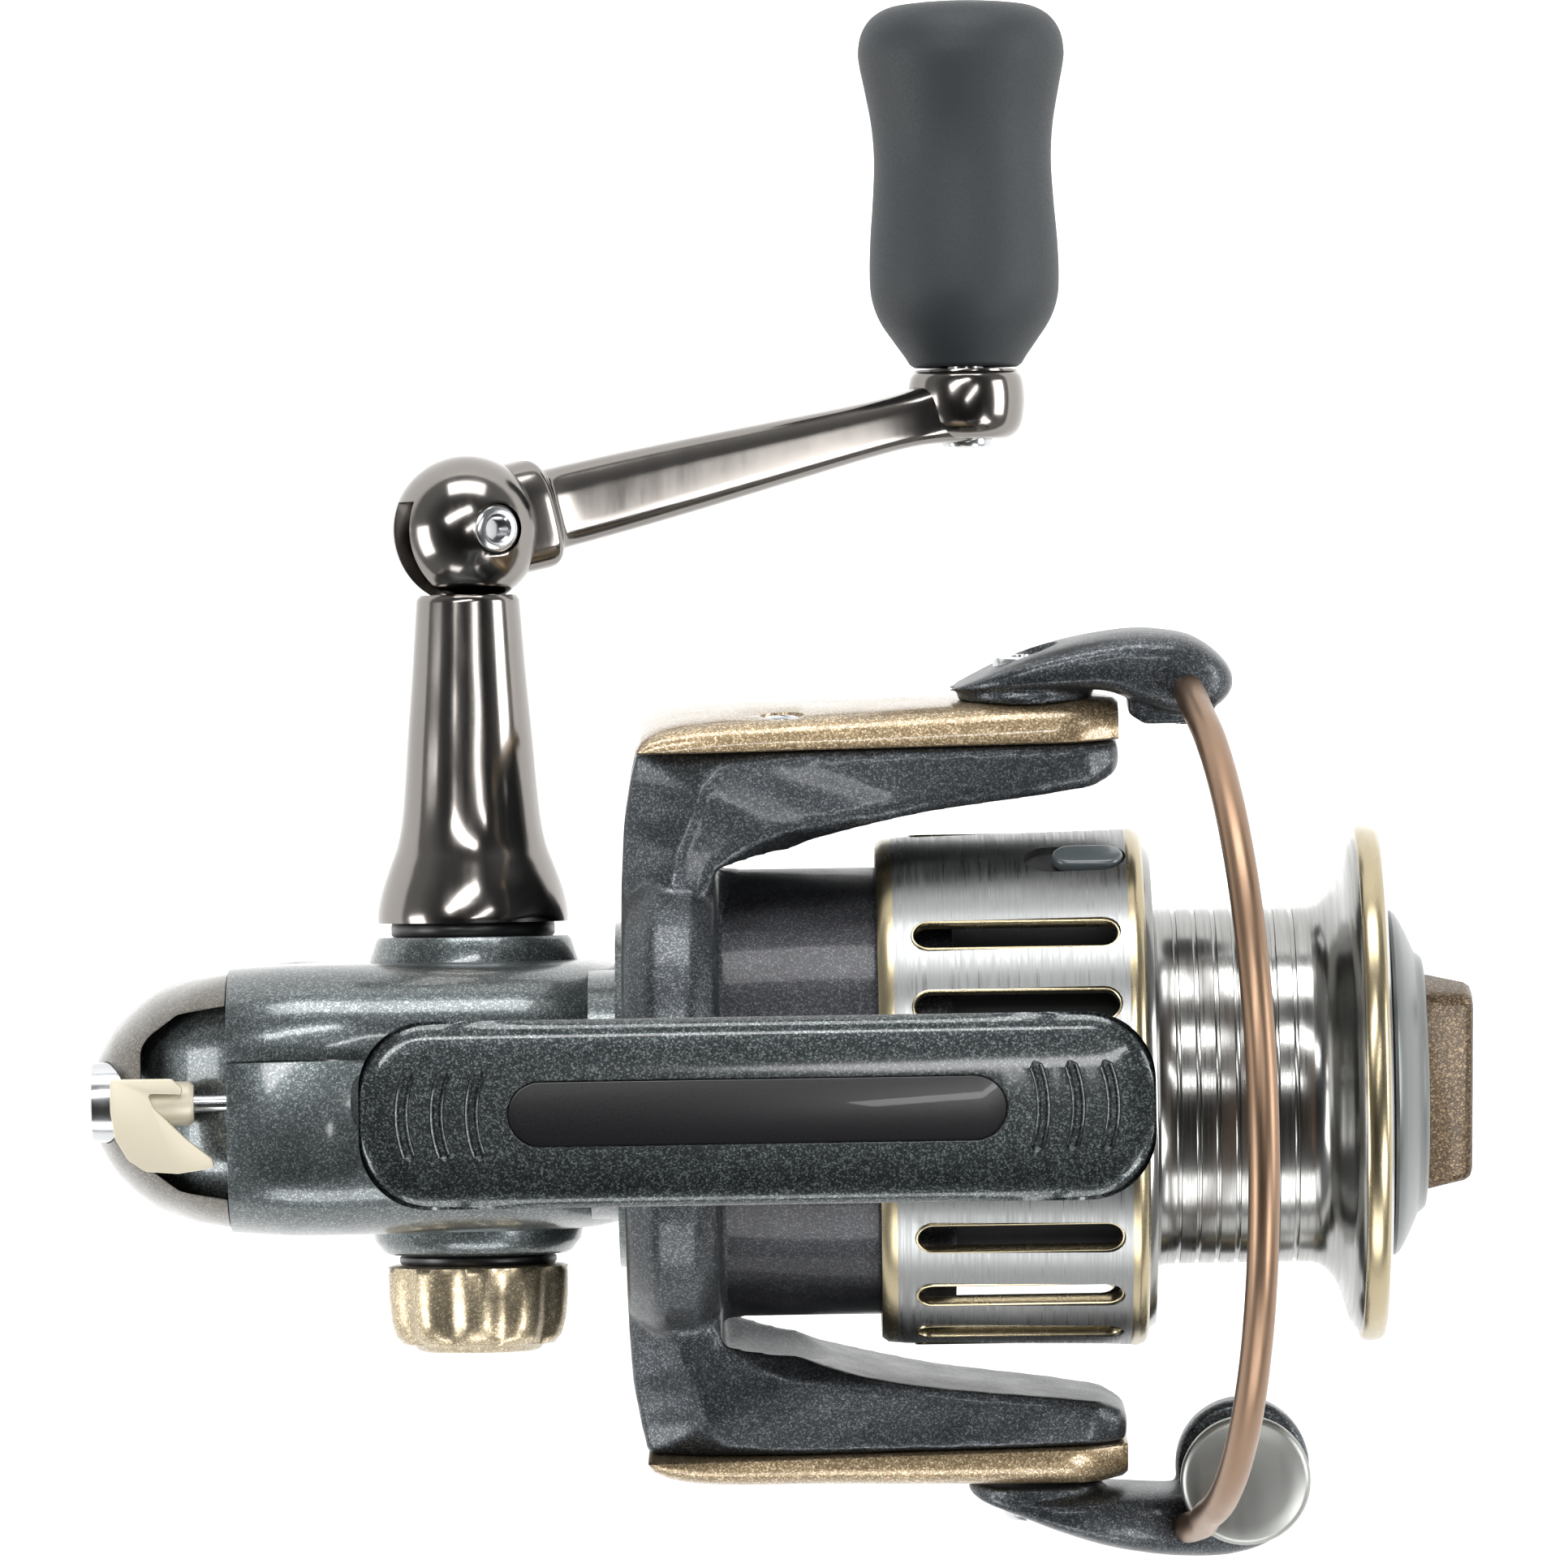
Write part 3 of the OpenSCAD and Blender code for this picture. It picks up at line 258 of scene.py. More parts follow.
def rounded(points, radius=None, steps=4):
    """An outline with its corners rounded. A point is (x, y) or (x, y, its own radius)."""
    out = []
    count = len(points)
    for i, point in enumerate(points):
        here = Vector(point[:2])
        before = Vector(points[i - 1][:2]) - here
        after = Vector(points[(i + 1) % count][:2]) - here
        r = point[2] if len(point) > 2 else radius
        if not r or before.length < 1e-6 or after.length < 1e-6:
            out.append(tuple(here))
            continue
        turn = before.angle(after)
        reach = min(r / max(math.tan(turn / 2), 1e-4), 0.48 * before.length, 0.48 * after.length)
        a, b = here + before.normalized() * reach, here + after.normalized() * reach
        for k in range(steps + 1):
            t = k / steps
            out.append(tuple(a * (1 - t) ** 2 + here * 2 * t * (1 - t) + b * t * t))
    return out


def lathe(name, profile, mat, place, axis="X", steps=96, closed=True, sharp=40):
    """A solid of revolution from points (radius, height along the axis)."""
    bm = bmesh.new()
    rings = []
    for r, h in profile:
        ring = []
        if r < 1e-4:
            ring = [bm.verts.new(lathe_point(0, h, 0, axis))] * steps
        else:
            ring = [bm.verts.new(lathe_point(r, h, 2 * math.pi * k / steps, axis)) for k in range(steps)]
        rings.append(ring)
    pairs = list(zip(rings, rings[1:] + rings[:1])) if closed else list(zip(rings, rings[1:]))
    for a, b in pairs:
        for k in range(steps):
            n = (k + 1) % steps
            corners = []
            for v in (a[k], a[n], b[n], b[k]):
                if v not in corners:
                    corners.append(v)
            if len(corners) > 2 and not bm.faces.get(corners):
                bm.faces.new(corners)
    return obj_from(name, bm, mat, place, sharp=sharp)


def lathe_point(r, h, angle, axis):
    c, s = r * math.cos(angle), r * math.sin(angle)
    return {"X": (h, c, s), "Y": (c, h, s), "Z": (c, s, h)}[axis]


def curve_through(points, per=6):
    """Points of a smooth line through the given points (Catmull-Rom)."""
    pts = [Vector(p) for p in points]
    out = []
    for i in range(len(pts) - 1):
        p0, p1, p2, p3 = pts[max(i - 1, 0)], pts[i], pts[i + 1], pts[min(i + 2, len(pts) - 1)]
        for k in range(per):
            t = k / per
            out.append(0.5 * ((2 * p1) + (p2 - p0) * t + (2 * p0 - 5 * p1 + 4 * p2 - p3) * t * t
                              + (3 * p1 - p0 - 3 * p2 + p3) * t ** 3))
    out.append(pts[-1])
    return out


def loft(name, rings, mat, place=None, sharp=50):
    """A closed skin over rings that all have the same number of points."""
    bm = bmesh.new()
    made = [[bm.verts.new(p) for p in ring] for ring in rings]
    count = len(rings[0])
    for a, b in zip(made, made[1:]):
        for k in range(count):
            n = (k + 1) % count
            bm.faces.new((a[k], a[n], b[n], b[k]))
    bm.faces.new(made[0])
    bm.faces.new(made[-1])
    return obj_from(name, bm, mat, place, sharp=sharp)


def prism(name, outline, low, high, mat, place=None, sharp=35):
    """A straight solid over a closed outline in the plane XY, thick along Z."""
    bm = bmesh.new()
    layers = []
    for level in (low, high):
        layers.append([bm.verts.new((p[0], p[1], level)) for p in outline])
    bm.faces.new(layers[0])
    bm.faces.new(layers[1])
    for k in range(len(outline)):
        n = (k + 1) % len(outline)
        bm.faces.new((layers[0][k], layers[0][n], layers[1][n], layers[1][k]))
    return obj_from(name, bm, mat, place, sharp=sharp)


def apply_modifiers(obj):
    graph = bpy.context.evaluated_depsgraph_get()
    mesh = bpy.data.meshes.new_from_object(obj.evaluated_get(graph))
    old = obj.data
    obj.modifiers.clear()
    obj.data = mesh
    bpy.data.meshes.remove(old)


def bevel(obj, width, segments=3, angle=35):
    mod = obj.modifiers.new("edge", "BEVEL")
    mod.width = width * MM
    mod.segments = segments
    mod.limit_method = "ANGLE"
    mod.angle_limit = math.radians(angle)
    mod.harden_normals = False
    apply_modifiers(obj)
    shade(obj)
    return obj


def shade(obj, sharp=40):
    for poly in obj.data.polygons:
        poly.use_smooth = True
    obj.data.set_sharp_from_angle(angle=math.radians(sharp))


def cut(obj, tools):
    """Takes the tools away from an object, and removes them."""
    for tool in tools:
        mod = obj.modifiers.new("cut", "BOOLEAN")
        mod.object = tool
        mod.operation = "DIFFERENCE"
        mod.solver = "EXACT"
        apply_modifiers(obj)
    for tool in tools:
        bpy.data.objects.remove(tool)
    return obj


def cast(name, parts, mat, voxel, smooth):
    """Joins rough solids and softens them into one casting with fillets."""
    obj = join(name, parts)
    mod = obj.modifiers.new("voxels", "REMESH")
    mod.mode = "VOXEL"
    mod.voxel_size = voxel * MM
    mod.use_smooth_shade = True
    soft = obj.modifiers.new("soft", "SMOOTH")
    soft.factor = 0.5
    soft.iterations = smooth
    apply_modifiers(obj)
    for poly in obj.data.polygons:
        poly.use_smooth = True
    obj.data.materials.clear()
    obj.data.materials.append(mat)
    return obj


def box(name, low, high, mat, place=None):
    outline = [(low[0], low[1]), (high[0], low[1]), (high[0], high[1]), (low[0], high[1])]
    return prism(name, outline, low[2], high[2], mat, place)


def join(name, parts):
    """Joins separate closed solids into one object, keeping each one's material."""
    bm = bmesh.new()
    mats = []
    for part in parts:
        start = len(bm.faces)
        bm.from_mesh(part.data)
        bm.faces.ensure_lookup_table()
        for mat in part.data.materials:
            if mat not in mats:
                mats.append(mat)
        lookup = [mats.index(m) for m in part.data.materials]
        for face in bm.faces[start:]:
            face.material_index = lookup[min(face.material_index, len(lookup) - 1)]
    mesh = bpy.data.meshes.new(name)
    bm.to_mesh(mesh)
    bm.free()
    obj = bpy.data.objects.new(name, mesh)
    bpy.context.scene.collection.objects.link(obj)
    for mat in mats:
        mesh.materials.append(mat)
    for part in parts:
        bpy.data.objects.remove(part)
    return obj


def place_piece(obj, body, slot, *nodes):
    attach(obj, body)
    if nodes:
        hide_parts(*nodes)
    return obj


# ---------------------------------------------------------------- gearbox, stem and foot

REAR_X, REAR_Z = -33.5, -64.5
CASE_R, REAR_R = 16.0, 18.0
FRONT_X = -10.9
CAP_X = -40.75
LEVER_Z = -50.3


def case_outline(inset, count=120, low=None, high=None):
    """Side outline (x, z) of the gearbox: a belt round two circles, cut off square at low and high."""
    dense = []
    for k in range(721):
        a = 2 * math.pi * k / 720
        n = Vector((math.cos(a), math.sin(a)))
        ends = [(Vector((GEAR_X, GEAR_Z)), CASE_R - inset), (Vector((REAR_X, REAR_Z)), REAR_R - inset)]
        centre, radius = max(ends, key=lambda e: e[0].dot(n) + e[1])
        dense.append(centre + n * radius)
    upper, lower = dense[:361][::-1], dense[360:]
    x0 = upper[0].x if low is None else max(low, upper[0].x)
    x1 = upper[-1].x if high is None else min(high, upper[-1].x)
    half = count // 2
    xs = [x1 + (x0 - x1) * (1 - math.cos(math.pi * k / half)) / 2 for k in range(half + 1)]
    return [(x, height_at(upper, x)) for x in xs] + [(x, height_at(lower, x)) for x in reversed(xs)]


def height_at(chain, x):
    """z of a chain of points with rising x."""
    for p, q in zip(chain, chain[1:]):
        if x <= q.x + 1e-9:
            t = 0 if q.x - p.x < 1e-9 else max(0.0, (x - p.x) / (q.x - p.x))
            return p.y + (q.y - p.y) * t
    return chain[-1].y


def case_levels(half, y0, y1, round_r=8.0, depth=6.0, steps=12):
    """Pairs (y, inset) across the gearbox, rounded towards its sides."""
    levels = []
    for sign in (-1, 1):
        for k in range(steps + 1):
            a = math.pi / 2 * k / steps
            y = sign * (half - depth + depth * math.sin(a))
            inset = round_r * (1 - math.cos(a)) if depth else 0
            levels.append((y, inset))
    levels = sorted(set((round(y, 4), round(i, 4)) for y, i in levels))
    kept = [lv for lv in levels if y0 < lv[0] < y1]
    ends = []
    for y in (y0, y1):
        a = math.asin(max(0, min(1, (abs(y) - half + depth) / depth)))
        ends.append((y, round_r * (1 - math.cos(a))))
    return [ends[0]] + kept + [ends[1]]


def case_piece(name, half, y0, y1, mat, extra=0.0, low=None, high=None):
    rings = []
    for y, inset in case_levels(half, y0, y1):
        rings.append([(x, y, z) for x, z in case_outline(inset + extra, low=low, high=high)])
    return loft(name, rings, mat, sharp=30)


def narrow_rear(obj):
    """Draws the rear of the gearbox in towards its tip."""
    share = [(-51.6, 0.5), (-51.0, 0.6), (-49.7, 0.74), (-48.2, 0.82), (-46.5, 0.885), (-43.5, 0.945),
             (-40.9, 0.975),
             (-36, 1.0)]
    for vert in obj.data.vertices:
        x = vert.co.x / MM
        for (x0, f0), (x1, f1) in zip(share, share[1:]):
            if x0 <= x < x1:
                vert.co.y *= f0 + (f1 - f0) * (x - x0) / (x1 - x0)
                break
    return obj


def build_case():
    """Both gearbox shells, the tail under the shroud, the neck and the bosses."""
    right = case_piece("case_right", 10.4, -10.4, 3.12, MAT["case_grey"], low=CAP_X + 0.12, high=FRONT_X)
    left = case_piece("case_left", 10.4, 3.28, 10.4, MAT["case_grey"], low=CAP_X + 0.12, high=FRONT_X)
    for shell in (right, left):
        narrow_rear(shell)
        bevel(shell, 0.22, 2, 60)
    core = case_piece("case_core", 9.6, -9.6, 9.6, MAT["case_grey"], extra=0.5, low=CAP_X + 0.4, high=FRONT_X - 0.4)
    tail = case_piece("case_tail", 10.1, -8.4, 8.4, MAT["case_grey"], extra=1.75, high=CAP_X + 1.0)
    narrow_rear(core)
    narrow_rear(tail)
    for solid in (right, core, tail):
        cut(solid, [box("slider_room", (-42.6, -4.7, -77.5), (-23, 2.3, -52.6), MAT["case_grey"])])
    neck = lathe("case_neck", [(5, -13), (9.6, -13), (9.6, -10.9), (13.2, -10.85), (13.3, -10.7), (13.3, -0.9),
                               (5, -0.9)], MAT["case_grey"], SPOOL)
    boss_low = lathe("boss_right", [(0, -8), (9.4, -8.6), (8.9, -9.6), (8.35, -10.0), (8.2, -10.3), (8.0, -11.2),
                                    (7.3, -12.1), (6.9, -12.3), (0, -12.3)], MAT["case_grey"], gear_place(), "Y")
    boss_ring = lathe("boss_left", [(0, 7.6), (9.0, 7.8), (8.2, 9.0), (8.05, 9.3), (8.25, 9.42), (8.28, 9.9),
                                    (7.6, 12.0),
                                    (7.35, 12.28), (0, 12.28)], MAT["case_grey"], gear_place(), "Y")
    housing = join("gearbox_housing", [right, core, tail, neck, boss_low])
    cover = join("gearbox_cover", [left, boss_ring])
    place_piece(housing, "frame", "case_grey", "housing")
    place_piece(cover, "frame", "case_grey", "side_cover")
    return housing


def gear_place():
    return Matrix.Translation((GEAR_X * MM, 0, GEAR_Z * MM))


def build_stem():
    """The stem: slim rounded sections that lean forward and spread under the foot."""
    stations = [
        # height z, rear x, front x, half thickness
        (-55.0, -33.5, -11.6, 4.6), (-50.0, -32.6, -11.6, 3.9), (-45.0, -30.3, -11.6, 3.35),
        (-40, -27.8, -11.6, 3.1),
        (-34.0, -24.8, -11.5, 3.0), (-28.0, -22.6, -10.4, 3.0), (-22.0, -21.0, -7.7, 3.0),
        (-16.0, -19.8, -4.2, 3.05),
        (-11.0, -19.2, -0.2, 3.15), (-7.0, -19.4, 4.2, 3.4), (-4.4, -20.4, 8.6, 4.1), (-2.6, -22.0, 12.4, 5.2),
    ]
    zs = [s[0] for s in stations]
    smooth = curve_through([(s[1], s[2], s[3]) for s in stations], 4)
    heights = curve_through([(z, 0, 0) for z in zs], 4)
    rings = []
    for h, (rear, front, half) in zip(heights, smooth):
        mid, reach = (rear + front) / 2, (front - rear) / 2
        ring = []
        for k in range(40):
            a = 2 * math.pi * k / 40
            c, s = math.cos(a), math.sin(a)
            ring.append((mid + reach * math.copysign(abs(c) ** 0.75, c), half * math.copysign(abs(s) ** 0.6, s),
                         h.x))
        rings.append(ring)
    stem = loft("stem", rings, MAT["case_grey"])
    return place_piece(stem, "frame", "case_grey", "housing")


FOOT_L, FOOT_W = 58.0, 13.7
LABEL_L, LABEL_W = 36.5, 4.9


def foot_half_width(x):
    """Half the foot's width at x, with its round corners."""
    corner = 5.0
    over = abs(x) - (FOOT_L / 2 - corner)
    if over <= 0:
        return FOOT_W / 2
    return FOOT_W / 2 - corner + math.sqrt(max(corner ** 2 - over ** 2, 0.0))


def build_foot():
    """The foot: flat seat in the middle, crowned flanks, thin round ends, label recess and grip grooves."""
    section = [(0.0, 0.0), (0.42, 0.0), (0.62, -0.05), (0.8, -0.2), (0.9, -0.42), (0.97, -0.85), (1.0, -1.3),
               (0.985, -1.75), (0.94, -2.0), (0.8, -2.15), (0.4, -2.6), (0.0, -2.7)]
    ends = [-FOOT_L / 2 + 5 * (1 - math.cos(math.pi / 2 * k / 14)) for k in range(15)]
    xs = ends + [-24 + 48 * k / 40 for k in range(1, 40)] + [-x for x in reversed(ends)]
    rings = []
    for x in xs:
        half = max(foot_half_width(x), 0.35)
        edge = max(0, (abs(x) - 25.2) / 3.8)
        drop = 0.55 * edge ** 3
        rise = 0.9 * min(1, max(0, (abs(x) - 12) / 17)) ** 1.4
        ring = []
        for y, z in section:
            ring.append((x, y * half, min(z - drop if z > -1.3 else z + rise, 0)))
        left = [(p[0], -p[1], p[2]) for p in reversed(ring[1:-1])]
        rings.append(ring + left)
    foot = loft("foot", rings, MAT["foot_grey"], sharp=60)
    recess = prism("recess", stadium(LABEL_L, LABEL_W), -0.55, 1, MAT["foot_grey"])
    tools = [recess]
    for side in (-1, 1):
        for k in range(3):
            tools.append(groove(side, side * (18.2 + 2.55 * k + 2.6)))
    cut(foot, tools)
    shade(foot, 35)
    place_piece(foot, "frame", "case_grey", "housing")
    rim = prism("label", stadium(LABEL_L - 0.16, LABEL_W - 0.16), -0.62, -0.2, MAT["label_black"])
    bevel(rim, 0.12, 3)
    place_piece(rim, "frame", "label_black", "foot_label")
    return foot


def stadium(length, width, steps=20):
    r, half = width / 2, (length - width) / 2
    right = [(half + r * math.sin(math.pi * k / steps),
              -r * math.cos(math.pi * k / steps)) for k in range(steps + 1)]
    return right + [(-x, -y) for x, y in right]


def groove(side, x):
    """A curved grip groove: a short arc of a ring with a round section."""
    radius, half_angle, wire = 8.45, math.radians(23.3), 0.54
    centre = x - side * radius
    rings = []
    for k in range(17):
        a = -half_angle + 2 * half_angle * k / 16
        wide = wire * min(1, 0.25 + 1.6 * math.sqrt(max(0, 1 - (2 * k / 16 - 1) ** 2)))
        ring = []
        for j in range(10):
            b = 2 * math.pi * j / 10
            r = radius + wide * math.cos(b)
            ring.append((centre + side * r * math.cos(a), r * math.sin(a), 0.06 + 0.98 * wide * math.sin(b)))
        rings.append(ring)
    return loft("groove", rings, MAT["foot_grey"])


def build_shroud():
    """The bronze shroud round the rear of the gearbox, open on top over the lever."""
    outer = case_piece("rear_shroud", 10.0, -10.0, 10.0, MAT["shroud"], high=CAP_X)
    inner = case_piece("inner", 8.75, -8.75, 8.75, MAT["shroud"], extra=1.45, high=-30)
    window = prism("window", rounded([(-47.4, -5.4, 2.2), (-47.4, 5.4, 2.2), (-44.5, 7.3, 1), (-35, 8.0),
                                      (-35, -8.0),
                                      (-44.5, -7.3, 1)], steps=5), -58.5, -30, MAT["shroud"])
    hole = lathe("hole", [(0, -60), (3.15, -60), (3.15, -44), (0, -44)], MAT["shroud"], SPOOL, closed=False)
    cut(outer, [inner, window])
    narrow_rear(outer)
    cut(outer, [hole])
    bevel(outer, 0.25, 2, 50)
    place_piece(outer, "frame", "bronze", "rear_cap")
    ring = lathe("rear_ring", [(2.3, -51.25), (2.7, -51.45), (3.05, -51.3), (3.1, -50.6), (3.1, -48.6),
                               (2.3, -48.6)],
                 MAT["steel"], SPOOL, steps=64)
    place_piece(ring, "frame", "steel", "rear_eyelet")


def build_lever():
    """The hook-shaped anti-reverse lever on its cross rod."""
    outline = rounded([
        (-49.5, 1.95, 0.3), (-44.8, 1.95, 0.5), (-44.0, 1.2, 0.3), (-44.1, 0.75, 0.1), (-46.7, 0.85, 0.3),
        (-46.2, -0.25, 0.5), (-45.0, -1.45, 0.8), (-43.7, -2.7, 1), (-41.8, -4.2, 0.6), (-41.6, -4.9, 0.4),
        (-44.4, -5.3, 1), (-46.9, -5.1, 1), (-48.2, -4.2, 1), (-49.2, -2.5, 1), (-49.5, -0.5, 1)
    ], steps=4)
    lever = prism("lever", outline, LEVER_Z + 1.0, LEVER_Z + 2.45, MAT["lever_satin"])
    bevel(lever, 0.18, 3, 40)
    along = Matrix.Translation((0, 0, LEVER_Z * MM))
    hub = lathe("lever_hub", [(0, -49.2), (1.4, -49.2), (1.7, -48.9), (1.7, -43.6), (1.4, -43.2), (0, -43.2)],
                MAT["lever_satin"], along, "X", closed=False, steps=64)
    rod = lathe("lever_rod", [(0, -44), (0.68, -44), (0.68, -9.8), (0, -9.8)], MAT["steel"], along, "X",
                closed=False,
                steps=48)
    place_piece(join("anti_reverse_hook", [lever, hub, rod]), "anti_reverse", "champagne", "anti_reverse_lever")


# ---------------------------------------------------------------- crank

def build_sleeve():
    points = [(7.4, 13.4), (7.42, 13.9), (7.3, 14.8), (6.95, 16.2), (6.35, 17.9), (5.8, 19.4), (5.42, 21.3),
              (5.15, 24),
              (4.85, 28), (4.5, 32), (4.2, 36), (4.02, 38.4)]
    smooth = [(p.x, p.y) for p in curve_through([(r, h, 0) for r, h in points], 6)]
    profile = [(2.6, 13.4), (7.1, 13.35)] + smooth + [(3.75, 38.75), (3.2, 38.6), (2.6, 38.2)]
    sleeve = lathe("handle_post", profile, MAT["gunmetal"], gear_place(), "Y", steps=128)
    place_piece(sleeve, "gear_train", "gunmetal", "handle_sleeve")
    seal = lathe("post_seal", [(3.5, 12.3), (6.2, 12.3), (6.35, 12.5), (6.35, 13.2), (6.2, 13.4), (3.5, 13.4)],
                 MAT["seal_rubber"], gear_place(), "Y")
    place_piece(seal, "gear_train", "seal_rubber", "handle_seal")


def build_screw_cap():
    """The gold cap of the cross rod, with broad flutes round its side."""
    profile = [(0, -13.15), (6.6, -13.15), (7.0, -13.3), (7.15, -13.8), (7.12, -15.6), (6.95, -17.4), (6.6, -18.6),
               (5.9, -19.25), (5.0, -19.4), (4.7, -19.75), (4.2, -19.9), (0, -19.9)]
    steps, flutes = 160, 10
    rings = []
    for r, h in profile:
        depth = 0.5 if -19.1 < h < -13.6 else 0.0
        ring = []
        for k in range(steps):
            a = 2 * math.pi * k / steps
            wave = (0.5 + 0.5 * math.cos(flutes * a)) ** 1.4
            rr = max(r - depth * wave, 0.02)
            ring.append((rr * math.cos(a), h, rr * math.sin(a)))
        rings.append(ring)
    cap = loft("fluted_cap", rings, MAT["cap_gold"], gear_place(), sharp=60)
    place_piece(cap, "gear_train", "champagne", "screw_cap")
    seal = lathe("fluted_cap_seal", [(3.5, -13.15), (5.9, -13.15), (6.1, -12.9), (6.1, -12.55),
                                     (5.9, -12.38), (3.5, -12.38)], MAT["seal_rubber"], gear_place(), "Y")
    place_piece(seal, "gear_train", "seal_rubber", "cap_seal")


def arm_section(u, half_v, half_w, centre_v, exponent=3.2, count=32):
    """A rounded cross-section of the crank arm, square to its length."""
    ring = []
    for k in range(count):
        a = 2 * math.pi * k / count
        c, s = math.cos(a), math.sin(a)
        power = 2 / exponent
        narrow = 1 - 0.16 * s
        ring.append((u, centre_v + half_v * math.copysign(abs(s) ** power, s),
                     half_w * narrow * math.copysign(abs(c) ** power, c)))
    return ring


def build_crank():
    """Slotted ball, tapered arm, eye, pivot screw and spindle."""
    steps = 40
    ball_profile = [(BALL_R * math.sin(math.pi * k / steps), BALL_Y - BALL_R * math.cos(math.pi * k / steps))
                    for k in range(steps + 1)]
    ball = lathe("ball", ball_profile, MAT["gunmetal"], CRANK, "Y", steps=80, closed=False)
    slot = box("slot", (-9, BALL_Y - 9, -1.35), (0, BALL_Y + 2.2, 1.35), MAT["hole_dark"], CRANK)
    slot_low = box("slot_low", (-2.4, BALL_Y - 9, -1.35), (2.4, BALL_Y, 1.35), MAT["hole_dark"], CRANK)
    well = lathe("well", [(0, 4.3), (2.0, 4.3), (2.0, 9), (0, 9)], MAT["gunmetal"],
                 CRANK @ Matrix.Translation((0, BALL_Y * MM, 0)), "Z", closed=False, steps=48)
    cut(ball, [slot, slot_low, well])
    bevel(ball, 0.14, 2, 50)
    slope = math.atan2(EYE_Y - BALL_Y, CRANK_R)
    lean = CRANK @ Matrix.Translation((0, BALL_Y * MM, 0)) @ Matrix.Rotation(slope, 4, "Z")
    sections = [(3.0, 4.3, 4.0), (5.2, 4.35, 4.05), (5.9, 4.25, 3.9), (6.3, 3.9, 3.5), (6.6, 3.45, 3.0),
                (7.4, 3.2, 2.8), (9.5, 3.15, 2.7), (14, 3.05, 2.6), (20, 2.85, 2.45), (28, 2.5, 2.25),
                (35, 2.2, 2.1), (39, 2.15, 2.1), (41.5, 2.35, 2.4), (43.4, 2.7, 2.9), (45.4, 2.9, 3.2)]
    smooth = curve_through(sections, 4)
    arm = loft("arm", [arm_section(p.x, p.y, p.z, 0) for p in smooth], MAT["gunmetal"], lean, sharp=50)
    eye_profile = [(0, -2.75), (2.6, -2.75), (3.6, -2.5), (4.3, -1.7), (4.6, -0.3), (4.62, 1.0), (4.45, 2.1),
                   (4.1, 2.6),
                   (3.7, 2.8), (0, 2.8)]
    smooth_eye = [(max(p.x, 0), p.y) for p in curve_through([(r, h, 0) for r, h in eye_profile], 3)]
    eye = lathe("eye", smooth_eye, MAT["gunmetal"], CRANK @ Matrix.Translation((CRANK_R * MM, EYE_Y * MM, 0)), "Y",
                closed=False)
    crank = join("crank_lever", [ball, arm, eye])
    place_piece(crank, "crank", "gunmetal", "crank_arm")
    screw = lathe("pivot_screw", [(0, 4.4), (0.95, 4.4), (0.95, 5.2), (1.15, 5.42), (1.6, 5.4), (1.85, 5.2),
                                  (1.85, 4.3),
                                  (1.1, 4.3), (1.1, -4.4), (0, -4.4)], MAT["steel"],
                  CRANK @ Matrix.Translation((0, BALL_Y * MM, 0)), "Z", steps=48, closed=False)
    place_piece(screw, "crank", "steel", "hinge_screw")
    rivet = lathe("spindle_end", [(0, -3.45), (1.5, -3.45), (1.95, -3.3), (2.05, -3.0), (2.0, -2.6), (1.4, -2.6),
                                  (1.4, 25), (0, 25)], MAT["steel"],
                  CRANK @ Matrix.Translation((CRANK_R * MM, EYE_Y * MM, 0)), "Y", steps=48, closed=False)
    place_piece(rivet, "crank", "steel", "knob_spindle")


def build_knob():
    points = [(4.45, 0.25), (4.85, 0.9), (5.7, 2.1), (6.75, 3.7), (7.35, 5.4), (7.5, 7.2), (7.42, 10), (7.15, 13.5),
              (7.02, 16.5), (7.2, 19.2), (7.65, 21.8), (8.08, 24.0), (8.15, 25.2), (7.85, 26.6), (7.0, 27.8),
              (5.6, 28.55), (3.6, 28.85)]
    smooth = [(p.x, p.y) for p in curve_through([(r, h, 0) for r, h in points], 5)]
    profile = [(2.4, 0), (4.1, 0.0)] + smooth + [(3.15, 28.85), (3.05, 28.6), (2.4, 28.6)]
    place = CRANK @ Matrix.Translation((CRANK_R * MM, (EYE_Y + 3) * MM, 0))
    grip = lathe("grip", profile, MAT["soft_grip"], place, "Y", steps=128)
    place_piece(grip, "knob", "soft_grip", "knob_grip")
    cap = lathe("grip_cap", [(0, 27.4), (2.95, 27.4), (2.95, 28.75), (2.7, 28.92), (0, 29.0)],
                MAT["soft_grip"], place, "Y",
                steps=96, closed=False)
    place_piece(cap, "knob", "soft_grip", "knob_cap")


# ---------------------------------------------------------------- rotor

COVER_Y = 27.2
DRUM_R = 17.2


def side_turn(side):
    """The rotor's place, or the same turned half round for the other arm."""
    return ROTOR @ Matrix.Rotation(0 if side > 0 else math.pi, 4, "X")


def arm_half(x):
    """Half height (along z') of a rotor arm at x."""
    stops = [(-10.3, 9.6), (-4, 9.4), (4, 8.1), (16, 6.8), (24, 5.9), (28.3, 3.4)]
    for (x0, h0), (x1, h1) in zip(stops, stops[1:]):
        if x <= x1:
            t = max(0.0, (x - x0) / (x1 - x0))
            t = t * t * (3 - 2 * t) if x1 > 28 else t
            return h0 + (h1 - h0) * t
    return stops[-1][1]


def arm_ring(outer, inner, rear_cut, front_cut, low_cut, half):
    """A section of the arm between an outer and an inner point, with both camera-side edges chamfered."""
    o, i = Vector(outer), Vector(inner)
    along = (i - o).normalized()
    a, b = o + along * rear_cut, i - along * front_cut
    pts = [(o, half - low_cut), (a, half), (b, half), (i, half - 0.75 * low_cut)]
    ring = [(p.x, p.y, h) for p, h in pts]
    return ring + [(p.x, p.y, -h) for p, h in reversed(pts)]


